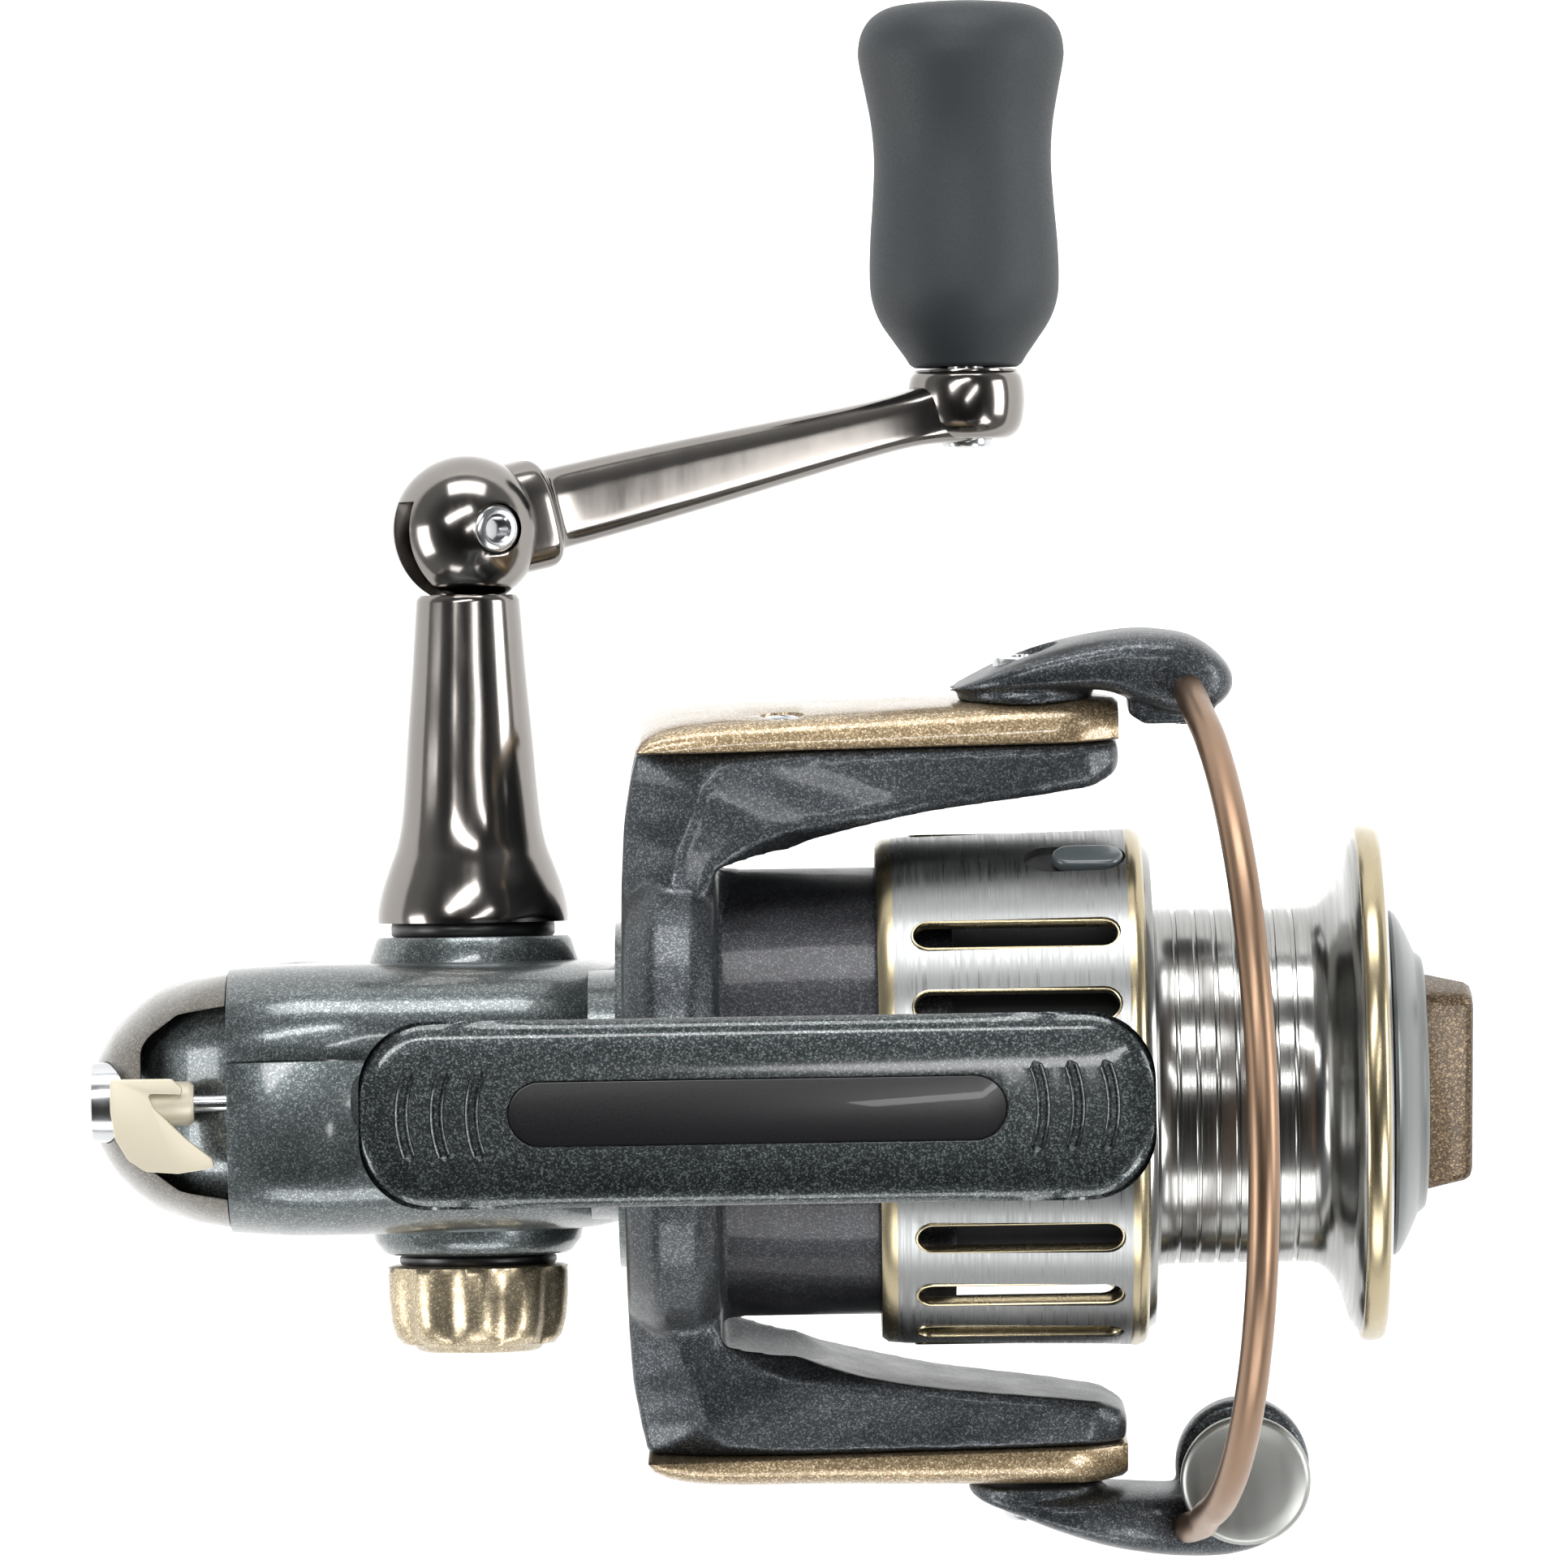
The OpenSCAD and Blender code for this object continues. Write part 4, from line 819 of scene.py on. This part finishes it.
def build_rotor():
    """Cup, two arms and drum. The arms are lofted along their path, then all is softened into one casting."""
    # outer point, inner point, width of the outer chamfer, width of the inner chamfer, chamfer depth, half height
    stations = [
        ((-10.3, 8.0), (-3.1, 8.0), 3.0, 1.6, 3.2, 13.0),
        ((-10.3, 12.5), (-3.1, 12.5), 3.2, 1.7, 3.2, 11.6),
        ((-10.25, 17.0), (-2.6, 15.6), 3.6, 1.8, 3.4, 10.4),
        ((-10.0, 21.5), (-1.2, 17.6), 4.4, 2.0, 3.6, 9.8),
        ((-9.4, 25.0), (1.4, 19.0), 5.4, 2.1, 3.6, 9.4),
        ((-8.9, 27.15), (4.2, 20.2), 5.6, 2.0, 3.2, 9.2),
        ((-4.0, 27.15), (7.4, 21.1), 1.6, 1.7, 1.4, 8.7),
        ((2.0, 27.15), (10.6, 21.8), 0.5, 1.4, 0.6, 8.0),
        ((8.0, 27.15), (13.6, 22.3), 0.35, 1.1, 0.5, 7.4),
        ((14.0, 27.15), (17.4, 22.75), 0.35, 0.9, 0.5, 6.9),
        ((20.0, 27.15), (22.0, 23.25), 0.35, 0.8, 0.5, 6.3),
        ((25.0, 27.15), (26.0, 23.8), 0.35, 0.8, 0.6, 5.5),
        ((27.2, 27.15), (27.6, 24.6), 0.35, 0.7, 0.8, 4.2),
        ((27.9, 27.1), (28.0, 25.3), 0.3, 0.5, 0.8, 3.0),
    ]
    parts = []
    for side in (1, -1):
        rings = [[(x, side * y, z) for x, y, z in arm_ring(*s)] for s in stations]
        parts.append(loft("arm", rings, MAT["rotor_dark"], ROTOR, sharp=20))
    cup = [(14.4, -10.3), (17.2, -10.3), (17.9, -10.0), (19.6, -8.2), (19.8, -7.6), (19.8, -5.0), (19.5, -4.5),
           (18.3, -3.1), (14.4, -3.1)]
    parts.append(lathe("cup", cup, MAT["rotor_dark"], ROTOR))
    web = [(4.0, -0.1), (16.4, -0.1), (16.4, 2.1), (4.0, 2.1)]
    parts.append(lathe("web", web, MAT["rotor_dark"], ROTOR))
    shell = [(15.6, -4.5), (17.1, -4.5), (17.1, 1.5), (15.6, 1.5)]
    parts.append(lathe("shell", shell, MAT["rotor_dark"], ROTOR))
    for part in parts[:3]:
        cut(part, [lathe("skirt_room", [(17.3, -3.1), (20.6, -3.1), (20.6, 35), (17.3, 35)],
                         MAT["rotor_dark"], ROTOR),
                   lathe("neck_room", [(0, -12), (14.4, -12), (14.4, -0.2), (0, -0.2)], MAT["rotor_dark"], ROTOR,
                         closed=False)])
    rotor = cast("rotor_casting", parts, MAT["rotor_dark"], 0.36, 5)
    cut(rotor, [lathe("trip_hole", [(0, -12), (0.95, -12), (0.95, 16), (0, 16)], MAT["rotor_dark"],
                      ROTOR @ Matrix.Translation((0, 25.2 * MM, 0)), closed=False, steps=24)])
    place_piece(rotor, "rotor_group", "rotor_dark", "rotor")
    drum = lathe("rotor_drum", [(15.6, -3.4), (16.6, -3.3), (17.0, -3.0), (DRUM_R, -2.6), (DRUM_R, 14.2),
                                (16.9, 14.9),
                                (15.6, 14.95)], MAT["drum_dark"], ROTOR)
    place_piece(drum, "rotor_group", "rotor_dark", "rotor")


def cover_ring(x, side):
    """A section of an arm cover at x: a crowned plate over the arm's outer face."""
    stops = [(-8.9, 27.6), (-8.5, 28.3), (-7.4, 28.9), (-5.5, 29.35), (-2, 29.6), (4, 29.75), (14, 30.1),
             (22, 30.35),
             (26, 30.4), (27.6, 30.2), (28, 29.9)]
    top = stops[-1][1]
    for (x0, y0), (x1, y1) in zip(stops, stops[1:]):
        if x <= x1:
            top = y0 + (y1 - y0) * max(0, (x - x0) / (x1 - x0))
            break
    half = arm_half(x) + 0.05
    rise = top - COVER_Y
    pts = [(COVER_Y + 0.05, half - 0.2), (COVER_Y + 0.2, half), (COVER_Y + 0.45 * rise, half - 0.15),
           (COVER_Y + 0.72 * rise, half - 0.6), (COVER_Y + 0.9 * rise, half - 1.5), (COVER_Y + rise, half - 3.0)]
    ring = [(x, side * y, z) for y, z in pts]
    return ring + [(x, side * y, -z) for y, z in reversed(pts)]


def build_covers():
    for side, node in ((1, "arm_cover_left"), (-1, "arm_cover_right")):
        xs = [-8.9, -8.5, -8.0, -7.2, -6, -4.5, -2, 1, 4, 8, 12, 16, 19, 21, 23, 24.5, 26, 27, 27.6, 28]
        cover = loft("cover_left" if side > 0 else "cover_right", [cover_ring(x, side) for x in xs], MAT["bronze"],
                     ROTOR, sharp=45)
        well = lathe("well", [(0, 28.9), (1.7, 28.9), (1.7, 33), (0, 33)], MAT["bronze"],
                     side_turn(side)
                     @ Matrix.Translation((2.2 * MM, 0, 5 * MM)), "Y", closed=False, steps=40)
        cut(cover, [well])
        bevel(cover, 0.16, 2, 45)
        place_piece(cover, "rotor_group", "bronze", node)
    for side in (1, -1):
        turn = side_turn(side)
        head = lathe("cover_screw_left" if side > 0 else "cover_screw_right",
                     [(0, 28.7), (1.5, 28.7), (1.55, 29.2), (1.4, 29.5), (0.9, 29.62), (0, 29.65)],
                     MAT["steel"], turn @ Matrix.Translation((2.2 * MM, 0, 5 * MM)), "Y", closed=False, steps=40)
        nick = box("nick", (-0.2, 29.35, -2), (0.2, 31, 2), MAT["steel"],
                   turn @ Matrix.Translation((2.2 * MM, 0, 5 * MM)) @ Matrix.Rotation(0.6, 4, "Y"))
        cut(head, [nick])
        place_piece(head, "rotor_group", "steel", "arm_cover_screws")


# ---------------------------------------------------------------- bail

BAIL_X = 20.9
ROLLER_X, ROLLER_Y = 37.0, -30.2


def build_bail_arm():
    """The wing on the crank side: a blade that swells forward and holds the wire's end."""
    # x, inner y, outer y, lower z, upper z
    stations = [
        (15.1, 30.95, 31.05, -1.6, 1.6), (16.2, 30.95, 31.6, -3.2, 3.2), (18.5, 30.95, 32.7, -4.9, 4.9),
        (21, 30.95, 33.7, -5.6, 5.7), (24, 30.95, 34.6, -5.5, 5.9), (27, 30.9, 35.2, -4.8, 5.9),
        (29.4, 30.0, 35.5, -4.0, 5.8),
        (31.5, 29.2, 35.4, -3.4, 5.6), (33.5, 29.0, 35.0, -2.8, 5.2), (35.2, 29.4, 34.0, -2.2, 4.6),
        (36.3, 30.2, 32.9, -1.4, 3.6), (36.8, 31, 32, -0.4, 2.4),
    ]
    arm = loft("wing", blade_rings(stations, 0.55, 0.7), MAT["rotor_dark"], ROTOR, sharp=60)
    tab = prism("tab", rounded([(28.9, 31.5), (28.7, 29.2), (30.0, 28.35), (34.6, 28.4), (35.4, 29.4), (35.2, 32)],
                               0.6), -2.6, 3.6, MAT["rotor_dark"], ROTOR)
    bevel(tab, 0.35, 3, 40)
    pivot = lathe("pivot", [(0, 30.2), (5.2, 30.2), (5.2, 30.95), (4.6, 31.2), (0, 31.2)], MAT["rotor_dark"],
                  ROTOR @ Matrix.Translation((BAIL_X * MM, 0, 0)), "Y", closed=False)
    whole = cast("bail_wing", [arm, tab, pivot], MAT["rotor_dark"], 0.24, 4)
    well = lathe("well", [(0, 33.0), (2.6, 33.0), (2.6, 40), (0, 40)], MAT["rotor_dark"],
                 ROTOR @ Matrix.Translation((BAIL_X * MM, 0, 0)), "Y", closed=False, steps=48)
    cut(whole, [well])
    place_piece(whole, "bail", "rotor_dark", "bail_arm")
    pin = lathe("wire_pin", [(0, 0), (0.75, 0), (0.75, 0.35), (0.55, 0.5), (0, 0.5)], MAT["steel"],
                ROTOR @ Matrix.Translation((0.0331, 0.02815, 0.0009)), "Y", closed=False, steps=32)
    place_piece(pin, "bail", "steel")


def blade_rings(stations, power_y, power_z):
    """Rounded sections of a blade from rows of x, inner y, outer y, lower z, upper z."""
    rings = []
    for x, y0, y1, z0, z1 in curve_stations(stations, 4):
        ym, yr = (y0 + y1) / 2, max((y1 - y0) / 2, 0.05)
        zm, zr = (z0 + z1) / 2, max((z1 - z0) / 2, 0.05)
        ring = []
        for k in range(36):
            a = 2 * math.pi * k / 36
            c, s = math.cos(a), math.sin(a)
            ring.append((x, ym + yr * math.copysign(abs(c) ** power_y, c),
                         zm + zr * math.copysign(abs(s) ** power_z, s)))
        rings.append(ring)
    return rings


def curve_stations(stations, per):
    """Smooths a list of number rows by Catmull-Rom, any row length."""
    out = []
    for i in range(len(stations) - 1):
        rows = [stations[max(i - 1, 0)], stations[i], stations[i + 1], stations[min(i + 2, len(stations) - 1)]]
        for k in range(per):
            t = k / per
            out.append([0.5 * (2 * p1 + (p2 - p0) * t + (2 * p0 - 5 * p1 + 4 * p2 - p3) * t * t
                               + (3 * p1 - p0 - 3 * p2 + p3) * t ** 3) for p0, p1, p2, p3 in zip(*rows)])
    out.append(list(stations[-1]))
    return out


def build_roller_arm():
    """The arm that carries the line roller, with its cup, cap disc, roller, pivot boss and the well for its pivot
    screw.
    """
    stations = [
        (15.8, -31.15, -31.05, -1.6, 1.6), (17.0, -31.9, -30.95, -3.6, 3.6), (19.6, -32.9, -30.95, -5.2, 5.2),
        (23, -34.3, -30.95, -5.7, 5.7), (26.5, -35.5, -30.95, -5.8, 5.2), (30, -36.3, -31.2, -6.0, 4.0),
        (33, -36.8, -31.2, -6.3, 2.0), (36, -37.0, -30.0, -6.4, -0.4), (39, -36.3, -28.8, -6.4, -2.2),
        (41.2, -34.4, -28.4, -6.2, -2.8), (42.2, -32.0, -29.4, -5.6, -3.2),
    ]
    arm = loft("arm", blade_rings(stations, 0.6, 0.65), MAT["rotor_dark"], ROTOR, sharp=60)
    seat = ROTOR @ Matrix.Translation((ROLLER_X * MM, ROLLER_Y * MM, 0))
    cup = lathe("cup", [(0, -6.4), (4.6, -6.4), (5.1, -5.9), (5.2, -3.4), (4.8, -2.75), (0, -2.75)],
                MAT["rotor_dark"],
                seat, "Z", closed=False)
    pivot = lathe("pivot", [(0, -31.2), (4.6, -31.2), (5.2, -30.95), (5.2, -30.5), (0, -30.5)], MAT["rotor_dark"],
                  ROTOR @ Matrix.Translation((BAIL_X * MM, 0, 0)), "Y", closed=False)
    whole = cast("bail_roller_arm", [arm, cup, pivot], MAT["rotor_dark"], 0.24, 4)
    well = lathe("well", [(0, -33.3), (2.6, -33.3), (2.6, -40), (0, -40)], MAT["rotor_dark"],
                 ROTOR @ Matrix.Translation((BAIL_X * MM, 0, 0)), "Y", closed=False, steps=48)
    dimple = lathe("dimple", [(0, -35.0), (0.8, -34.9), (1.6, -35.6), (2.0, -38), (0, -38)], MAT["rotor_dark"],
                   ROTOR @ Matrix.Translation((0.0262, 0, 0.0012)), "Y", closed=False, steps=40)
    cut(whole, [well, dimple])
    place_piece(whole, "bail", "rotor_dark", "roller_arm")
    disc = lathe("roller_disc", [(0, 3.15), (4.55, 3.15), (4.9, 3.3), (5.02, 3.7), (5.0, 4.3), (4.8, 4.62),
                                 (4.5, 4.75),
                                 (3.4, 4.95), (0, 5.1)], MAT["cap_disc"], seat, "Z", closed=False, steps=128)
    place_piece(disc, "bail", "cap_disc", "roller_cap")
    spool_of_roller = [(1.45, -2.45), (3.7, -2.45), (4.0, -2.2), (4.0, -1.7), (3.5, -0.6), (3.25, 0.2),
                       (3.5, 1.2), (4.0, 2.3),
                       (4.0, 2.8), (3.7, 3.0), (1.45, 3.0)]
    roller = lathe("roller", spool_of_roller, MAT["gold_ring"], seat, "Z", steps=96)
    place_piece(roller, "roller", "gold_ring", "line_roller")


def wire_path():
    """Centre line of the bail wire in the rotor's frame, from the wing over the spool to the roller's cap."""
    loop_r, lean, x0, z0 = 32.0, 0.16, 32.6, 1.6
    n = math.sqrt(1 + lean * lean)
    pts = [(30.6, 31.9, 2.0), (31.9, 31.9, 2.9), (33.2, 31.2, 4.6)]
    for k in range(17):
        a = math.radians(14 + 152 * k / 16)
        up = loop_r * math.sin(a)
        pts.append((x0 + lean / n * up, -1 + loop_r * math.cos(a), z0 + up / n))
    pts += [(33.6, -33.0, 6.6), (32.9, -33.7, 4.0), (32.3, -34.3, 1.6)]
    return [tuple(p) for p in curve_through(pts, 6)]


def tube(name, path, radius, mat, place, taper, sides=20):
    """A round tube along a path, with its ends closed and its radius changed by a taper."""
    pts = [Vector(p) for p in path]
    rings = []
    tangent = (pts[1] - pts[0]).normalized()
    normal = tangent.orthogonal().normalized()
    for i, p in enumerate(pts):
        step = (pts[min(i + 1, len(pts) - 1)] - pts[max(i - 1, 0)]).normalized()
        normal = (normal - step * normal.dot(step)).normalized()
        side = step.cross(normal)
        r = radius * taper(i / (len(pts) - 1))
        rings.append([p + normal * r * math.cos(2 * math.pi * k / sides) + side * r * math.sin(2 * math.pi * k / sides)
                      for k in range(sides)])
    return loft(name, rings, mat, place, sharp=60)


def build_wire():
    wire = tube("wire", wire_path(), 1.2, MAT["wire_copper"], ROTOR,
                lambda t: 1 if t < 0.97 else 1 - 0.35 * ((t - 0.97) / 0.03) ** 2)
    place_piece(wire, "bail", "wire_copper", "bail_wire")
    for side in (1, -1):
        turn = side_turn(side) @ Matrix.Translation((BAIL_X * MM, 0, 0))
        head = lathe("bail_screw_left" if side > 0 else "bail_screw_right",
                     [(0, 32.6), (2.4, 32.6), (2.45, 33.1), (2.25, 33.4), (1.0, 33.45), (0.9, 33.0), (0, 33.0)],
                     MAT["steel"], turn, "Y", closed=False, steps=48)
        place_piece(head, "bail", "steel", "bail_screws")


# ---------------------------------------------------------------- spool and drag

SKIRT_TURN = math.radians(-2)
CLIP_TURN = math.radians(-64)
CLIP_X = 25.4
SLOTS = 20
NO_SLOTS = (16, 17)


def build_spool():
    arbor = [(2.6, 28.1), (5, 28.1), (5, 35.6), (12.2, 35.6), (12.2, 14.2), (12.4, 14.0), (12.8, 14.0), (13, 14.2),
             (13, 29.3), (17.6, 29.3), (17.6, 28.7), (18.7, 28.7), (18.7, 29.7), (18.3, 30.2), (14.4, 30.35),
             (13.85, 30.6), (13.7, 31.1)]
    for k in range(7):
        x = 31.8 + 1.5 * k
        arbor += [(13.7, x), (13.45, x + 0.05), (13.42, x + 0.2), (13.45, x + 0.35), (13.7, x + 0.4)]
    flare = [(13.72, 42.3), (13.95, 43.0), (14.5, 43.7), (15.5, 44.35), (16.9, 44.85), (18.2, 45.25), (18.9, 45.7),
             (19.3, 46.1)]
    arbor += [(p.x, p.y) for p in curve_through([(r, h, 0) for r, h in flare], 4)]
    arbor += [(19.3, 47.8), (18.6, 48.0), (17.2, 48.15), (14.4, 48.2), (14.0, 48.0), (13.9, 47.4), (11.2, 47.4),
              (11.2, 38.5), (2.6, 38.5)]
    spool = lathe("spool_arbor", arbor, MAT["spool_metal"], SPOOL, steps=160)
    # the arbor's bore and inside get painted shade
    paint_shade_inside(spool, 17.7)
    place_piece(spool, "spool_group", "spool_metal", "spool")
    ring = [(19.25, 46.0), (19.6, 46.05), (19.8, 46.3), (19.85, 46.9), (19.75, 47.5), (19.5, 47.8), (19.25, 47.85)]
    lip = lathe("spool_lip", ring, MAT["gold_ring"], SPOOL, steps=160)
    place_piece(lip, "spool_group", "gold_ring", "lip_ring")


def paint_shade_inside(obj, radius):
    """Gives the faces inside a radius round the spool axis the near-black hole_dark material: painted shade in the
    cavity, laid over the cavity's own dark anodising.
    """
    obj.data.materials.append(MAT["hole_dark"])
    for poly in obj.data.polygons:
        middle = SPOOL.inverted() @ poly.center
        if math.hypot(middle.y, middle.z) < radius * MM and middle.x < 0.0302:
            poly.material_index = 1


def skirt_slot(grow, low, high, mat, k):
    """A slot tool or rim at place k round the skirt."""
    turn = SPOOL @ Matrix.Rotation(SKIRT_TURN + 2 * math.pi * k / SLOTS, 4,
                                   "X") @ Matrix.Translation((0.0197, 0, 0))
    return prism("slot", stadium(15.5 + grow, 2.3 + grow, 10), low, high, mat, turn)


def build_skirt():
    """The ported skirt: turned metal with gold chamfers at both ends and round each slot."""
    profile = [(18.7, 10.4), (19.4, 10.4), (19.48, 11.0), (19.85, 28.3), (18.7, 28.3)]
    skirt = lathe("skirt", profile, MAT["skirt_metal"], SPOOL, steps=180)
    rims = []
    for k in range(SLOTS):
        if k in NO_SLOTS:
            continue
        cut(skirt, [skirt_slot(0.5, 15, 22, MAT["skirt_metal"], k)])
        outer = skirt_slot(0.48, 18.75, 19.62, MAT["gold_ring"], k)
        cut(outer, [skirt_slot(0.0, 15, 22, MAT["gold_ring"], k)])
        bevel(outer, 0.1, 2, 50)
        rims.append(outer)
    clip_place = SPOOL @ Matrix.Rotation(CLIP_TURN, 4, "X") @ Matrix.Translation((CLIP_X * MM, 0, 0))
    well = prism("well", [(x - 1, y) for x, y in stadium(7.8, 4.2)], 19.0, 24, MAT["hole_dark"], clip_place)
    cut(skirt, [well])
    shade(skirt, 30)
    # the skirt's inside gets painted shade, over its own dark anodising
    paint_shade_inside(skirt, 19.05)
    place_piece(skirt, "spool_group", "skirt_metal", "spool_skirt")
    rear = lathe("skirt_rear", [(18.7, 9.2), (19.0, 9.2), (19.35, 9.7), (19.42, 10.4), (18.7, 10.4)],
                 MAT["gold_ring"],
                 SPOOL, steps=160)
    front = lathe("skirt_front", [(18.7, 28.3), (19.85, 28.3), (19.95, 28.7), (19.7, 29.35), (19.3, 29.6),
                                  (18.7, 29.6)],
                  MAT["gold_ring"], SPOOL, steps=160)
    trim = join("skirt_trim", rims + [rear, front])
    place_piece(trim, "spool_group", "gold_ring", "spool_skirt")
    clip = prism("clip", stadium(5.4, 3.0), 19.1, 20.15, MAT["clip_grey"], clip_place)
    bevel(clip, 0.3, 3, 40)
    place_piece(clip, "spool_group", "black_plastic", "line_clip")


def build_drag_knob():
    dome = [(1.6, 47.2), (8, 47.2), (8, 48.4), (13.0, 48.35), (13.25, 48.5), (13.3, 48.75), (13.1, 49.05),
            (12.5, 49.45),
            (11.5, 49.95), (10.6, 50.35), (10.1, 50.55), (9.85, 50.9), (9.6, 51.15), (9.0, 51.25), (1.6, 51.25)]
    knob = lathe("drag_dome", dome, MAT["knob_satin"], SPOOL, steps=128)
    place_piece(knob, "drag_control", "knob_satin", "drag_knob")
    turn = SPOOL @ Matrix.Rotation(math.radians(20), 4, "X")
    rings = []
    for x, half_y, half_z in ((51.15, 8.2, 2.5), (51.6, 8.15, 2.45), (53.0, 7.9, 2.2), (54.3, 7.7, 1.95),
                              (54.75, 7.45, 1.75),
                              (54.95, 7.0, 1.35)):
        outline = rounded([(-half_y, -half_z), (half_y, -half_z), (half_y, half_z), (-half_y, half_z)], 0.9, 5)
        rings.append([(x, y, z) for y, z in outline])
    wing = loft("drag_bar", rings, MAT["wing_bronze"], turn, sharp=40)
    place_piece(wing, "drag_control", "wing_bronze", "drag_wing")


# ---------------------------------------------------------------- carried-over CAD nodes

def finish_cad_nodes():
    """Every CAD node that stays takes a finished material by its slot."""
    slots = {entry["node"]: entry["material_slot"] for entry in frame["record"]["subparts"]}
    for node, obj in frame["nodes"].items():
        mat = MAT.get(slots.get(node, ""), MAT["steel"])
        if not obj.data.materials:
            obj.data.materials.append(mat)
        for k in range(len(obj.data.materials)):
            obj.data.materials[k] = mat


# ---------------------------------------------------------------- stage

def area(name, place, aim, size, power, colour=(1, 1, 1)):
    data = bpy.data.lights.new(name, "AREA")
    data.shape = "RECTANGLE"
    data.size, data.size_y = size
    data.energy = power
    data.color = colour
    light = bpy.data.objects.new(name, data)
    light.location = place
    light.rotation_euler = (Vector(aim) - Vector(place)).to_track_quat("-Z", "Y").to_euler()
    bpy.context.scene.collection.objects.link(light)
    return light


def build_stage():
    floor_z = -0.13
    bm = bmesh.new()
    half, count = 3.0, 12
    grid = [[bm.verts.new((-half + 2 * half * i / count, -half + 2 * half * j / count,
                           0)) for j in range(count + 1)]
            for i in range(count + 1)]
    for i in range(count):
        for j in range(count):
            bm.faces.new((grid[i][j], grid[i + 1][j], grid[i + 1][j + 1], grid[i][j + 1]))
    mesh = bpy.data.meshes.new("floor")
    bm.to_mesh(mesh)
    bm.free()
    mesh.transform(Matrix.Translation((0, 0, floor_z)))
    floor = bpy.data.objects.new("floor", mesh)
    bpy.context.scene.collection.objects.link(floor)
    n = Nodes("floor_white")
    n.set(Base_Color=(0.93, 0.93, 0.925, 1), Roughness=0.9)
    mesh.materials.append(n.mat)
    build_world()
    centre = (0.0, 0.015, -0.05)
    area("key", (-0.2, 0.42, 0.78), centre, (0.7, 0.14), 5.5)
    area("strip", (0.2, 0.16, 0.9), centre, (0.05, 0.5), 1.6)
    area("fill", (0.5, -0.45, 0.5), centre, (0.3, 0.3), 3.5)
    area("left", (-1.0, -0.2, 0.3), (-0.2, 0, -0.1), (0.7, 0.4), 8)
    area("right", (1.0, 0.1, 0.3), (0.2, 0, -0.1), (0.7, 0.4), 8)
    area("far", (0.0, 1.05, 0.3), (0, 0.2, -0.1), (0.9, 0.4), 11)
    area("near", (0.0, -1.0, 0.3), (0, -0.2, -0.1), (0.9, 0.4), 6.5)


def build_world():
    """A studio that is pale all round the horizon and dim overhead."""
    world = bpy.data.worlds.new("studio")
    bpy.context.scene.world = world
    world.use_nodes = True
    tree = world.node_tree
    coord = tree.nodes.new("ShaderNodeTexCoord")
    split = tree.nodes.new("ShaderNodeSeparateXYZ")
    ramp = tree.nodes.new("ShaderNodeValToRGB")
    stops = ((0.0, 0.9), (0.3, 0.85), (0.6, 0.3), (0.85, 0.07), (1.0, 0.04))
    while len(ramp.color_ramp.elements) < len(stops):
        ramp.color_ramp.elements.new(0.5)
    for element, (place, level) in zip(ramp.color_ramp.elements, stops):
        element.position = place
        element.color = (level * 0.98, level, level * 1.0, 1)
    tree.links.new(coord.outputs["Generated"], split.inputs["Vector"])
    tree.links.new(split.outputs["Z"], ramp.inputs["Fac"])
    tree.links.new(ramp.outputs["Color"], tree.nodes["Background"].inputs["Color"])
    tree.nodes["Background"].inputs["Strength"].default_value = 0.5


def build_camera():
    """Looks straight down on the foot's seat, as far away as a product shot's long lens."""
    data = bpy.data.cameras.new("camera")
    data.sensor_width = 36.0
    data.lens = 300.3
    data.clip_start, data.clip_end = 0.05, 10
    camera = bpy.data.objects.new("camera", data)
    bpy.context.scene.collection.objects.link(camera)
    camera.location = (0.0023, 0.02372, 0.950)
    camera.rotation_euler = (0, 0, math.radians(-0.9))
    bpy.context.scene.camera = camera


bpy.context.scene.view_settings.view_transform = "Standard"
build_camera()
finish_cad_nodes()
build_case()
build_stem()
build_foot()
build_shroud()
build_lever()
build_sleeve()
build_screw_cap()
build_crank()
build_knob()
build_rotor()
build_covers()
build_bail_arm()
build_roller_arm()
build_wire()
build_spool()
build_skirt()
build_drag_knob()
build_stage()
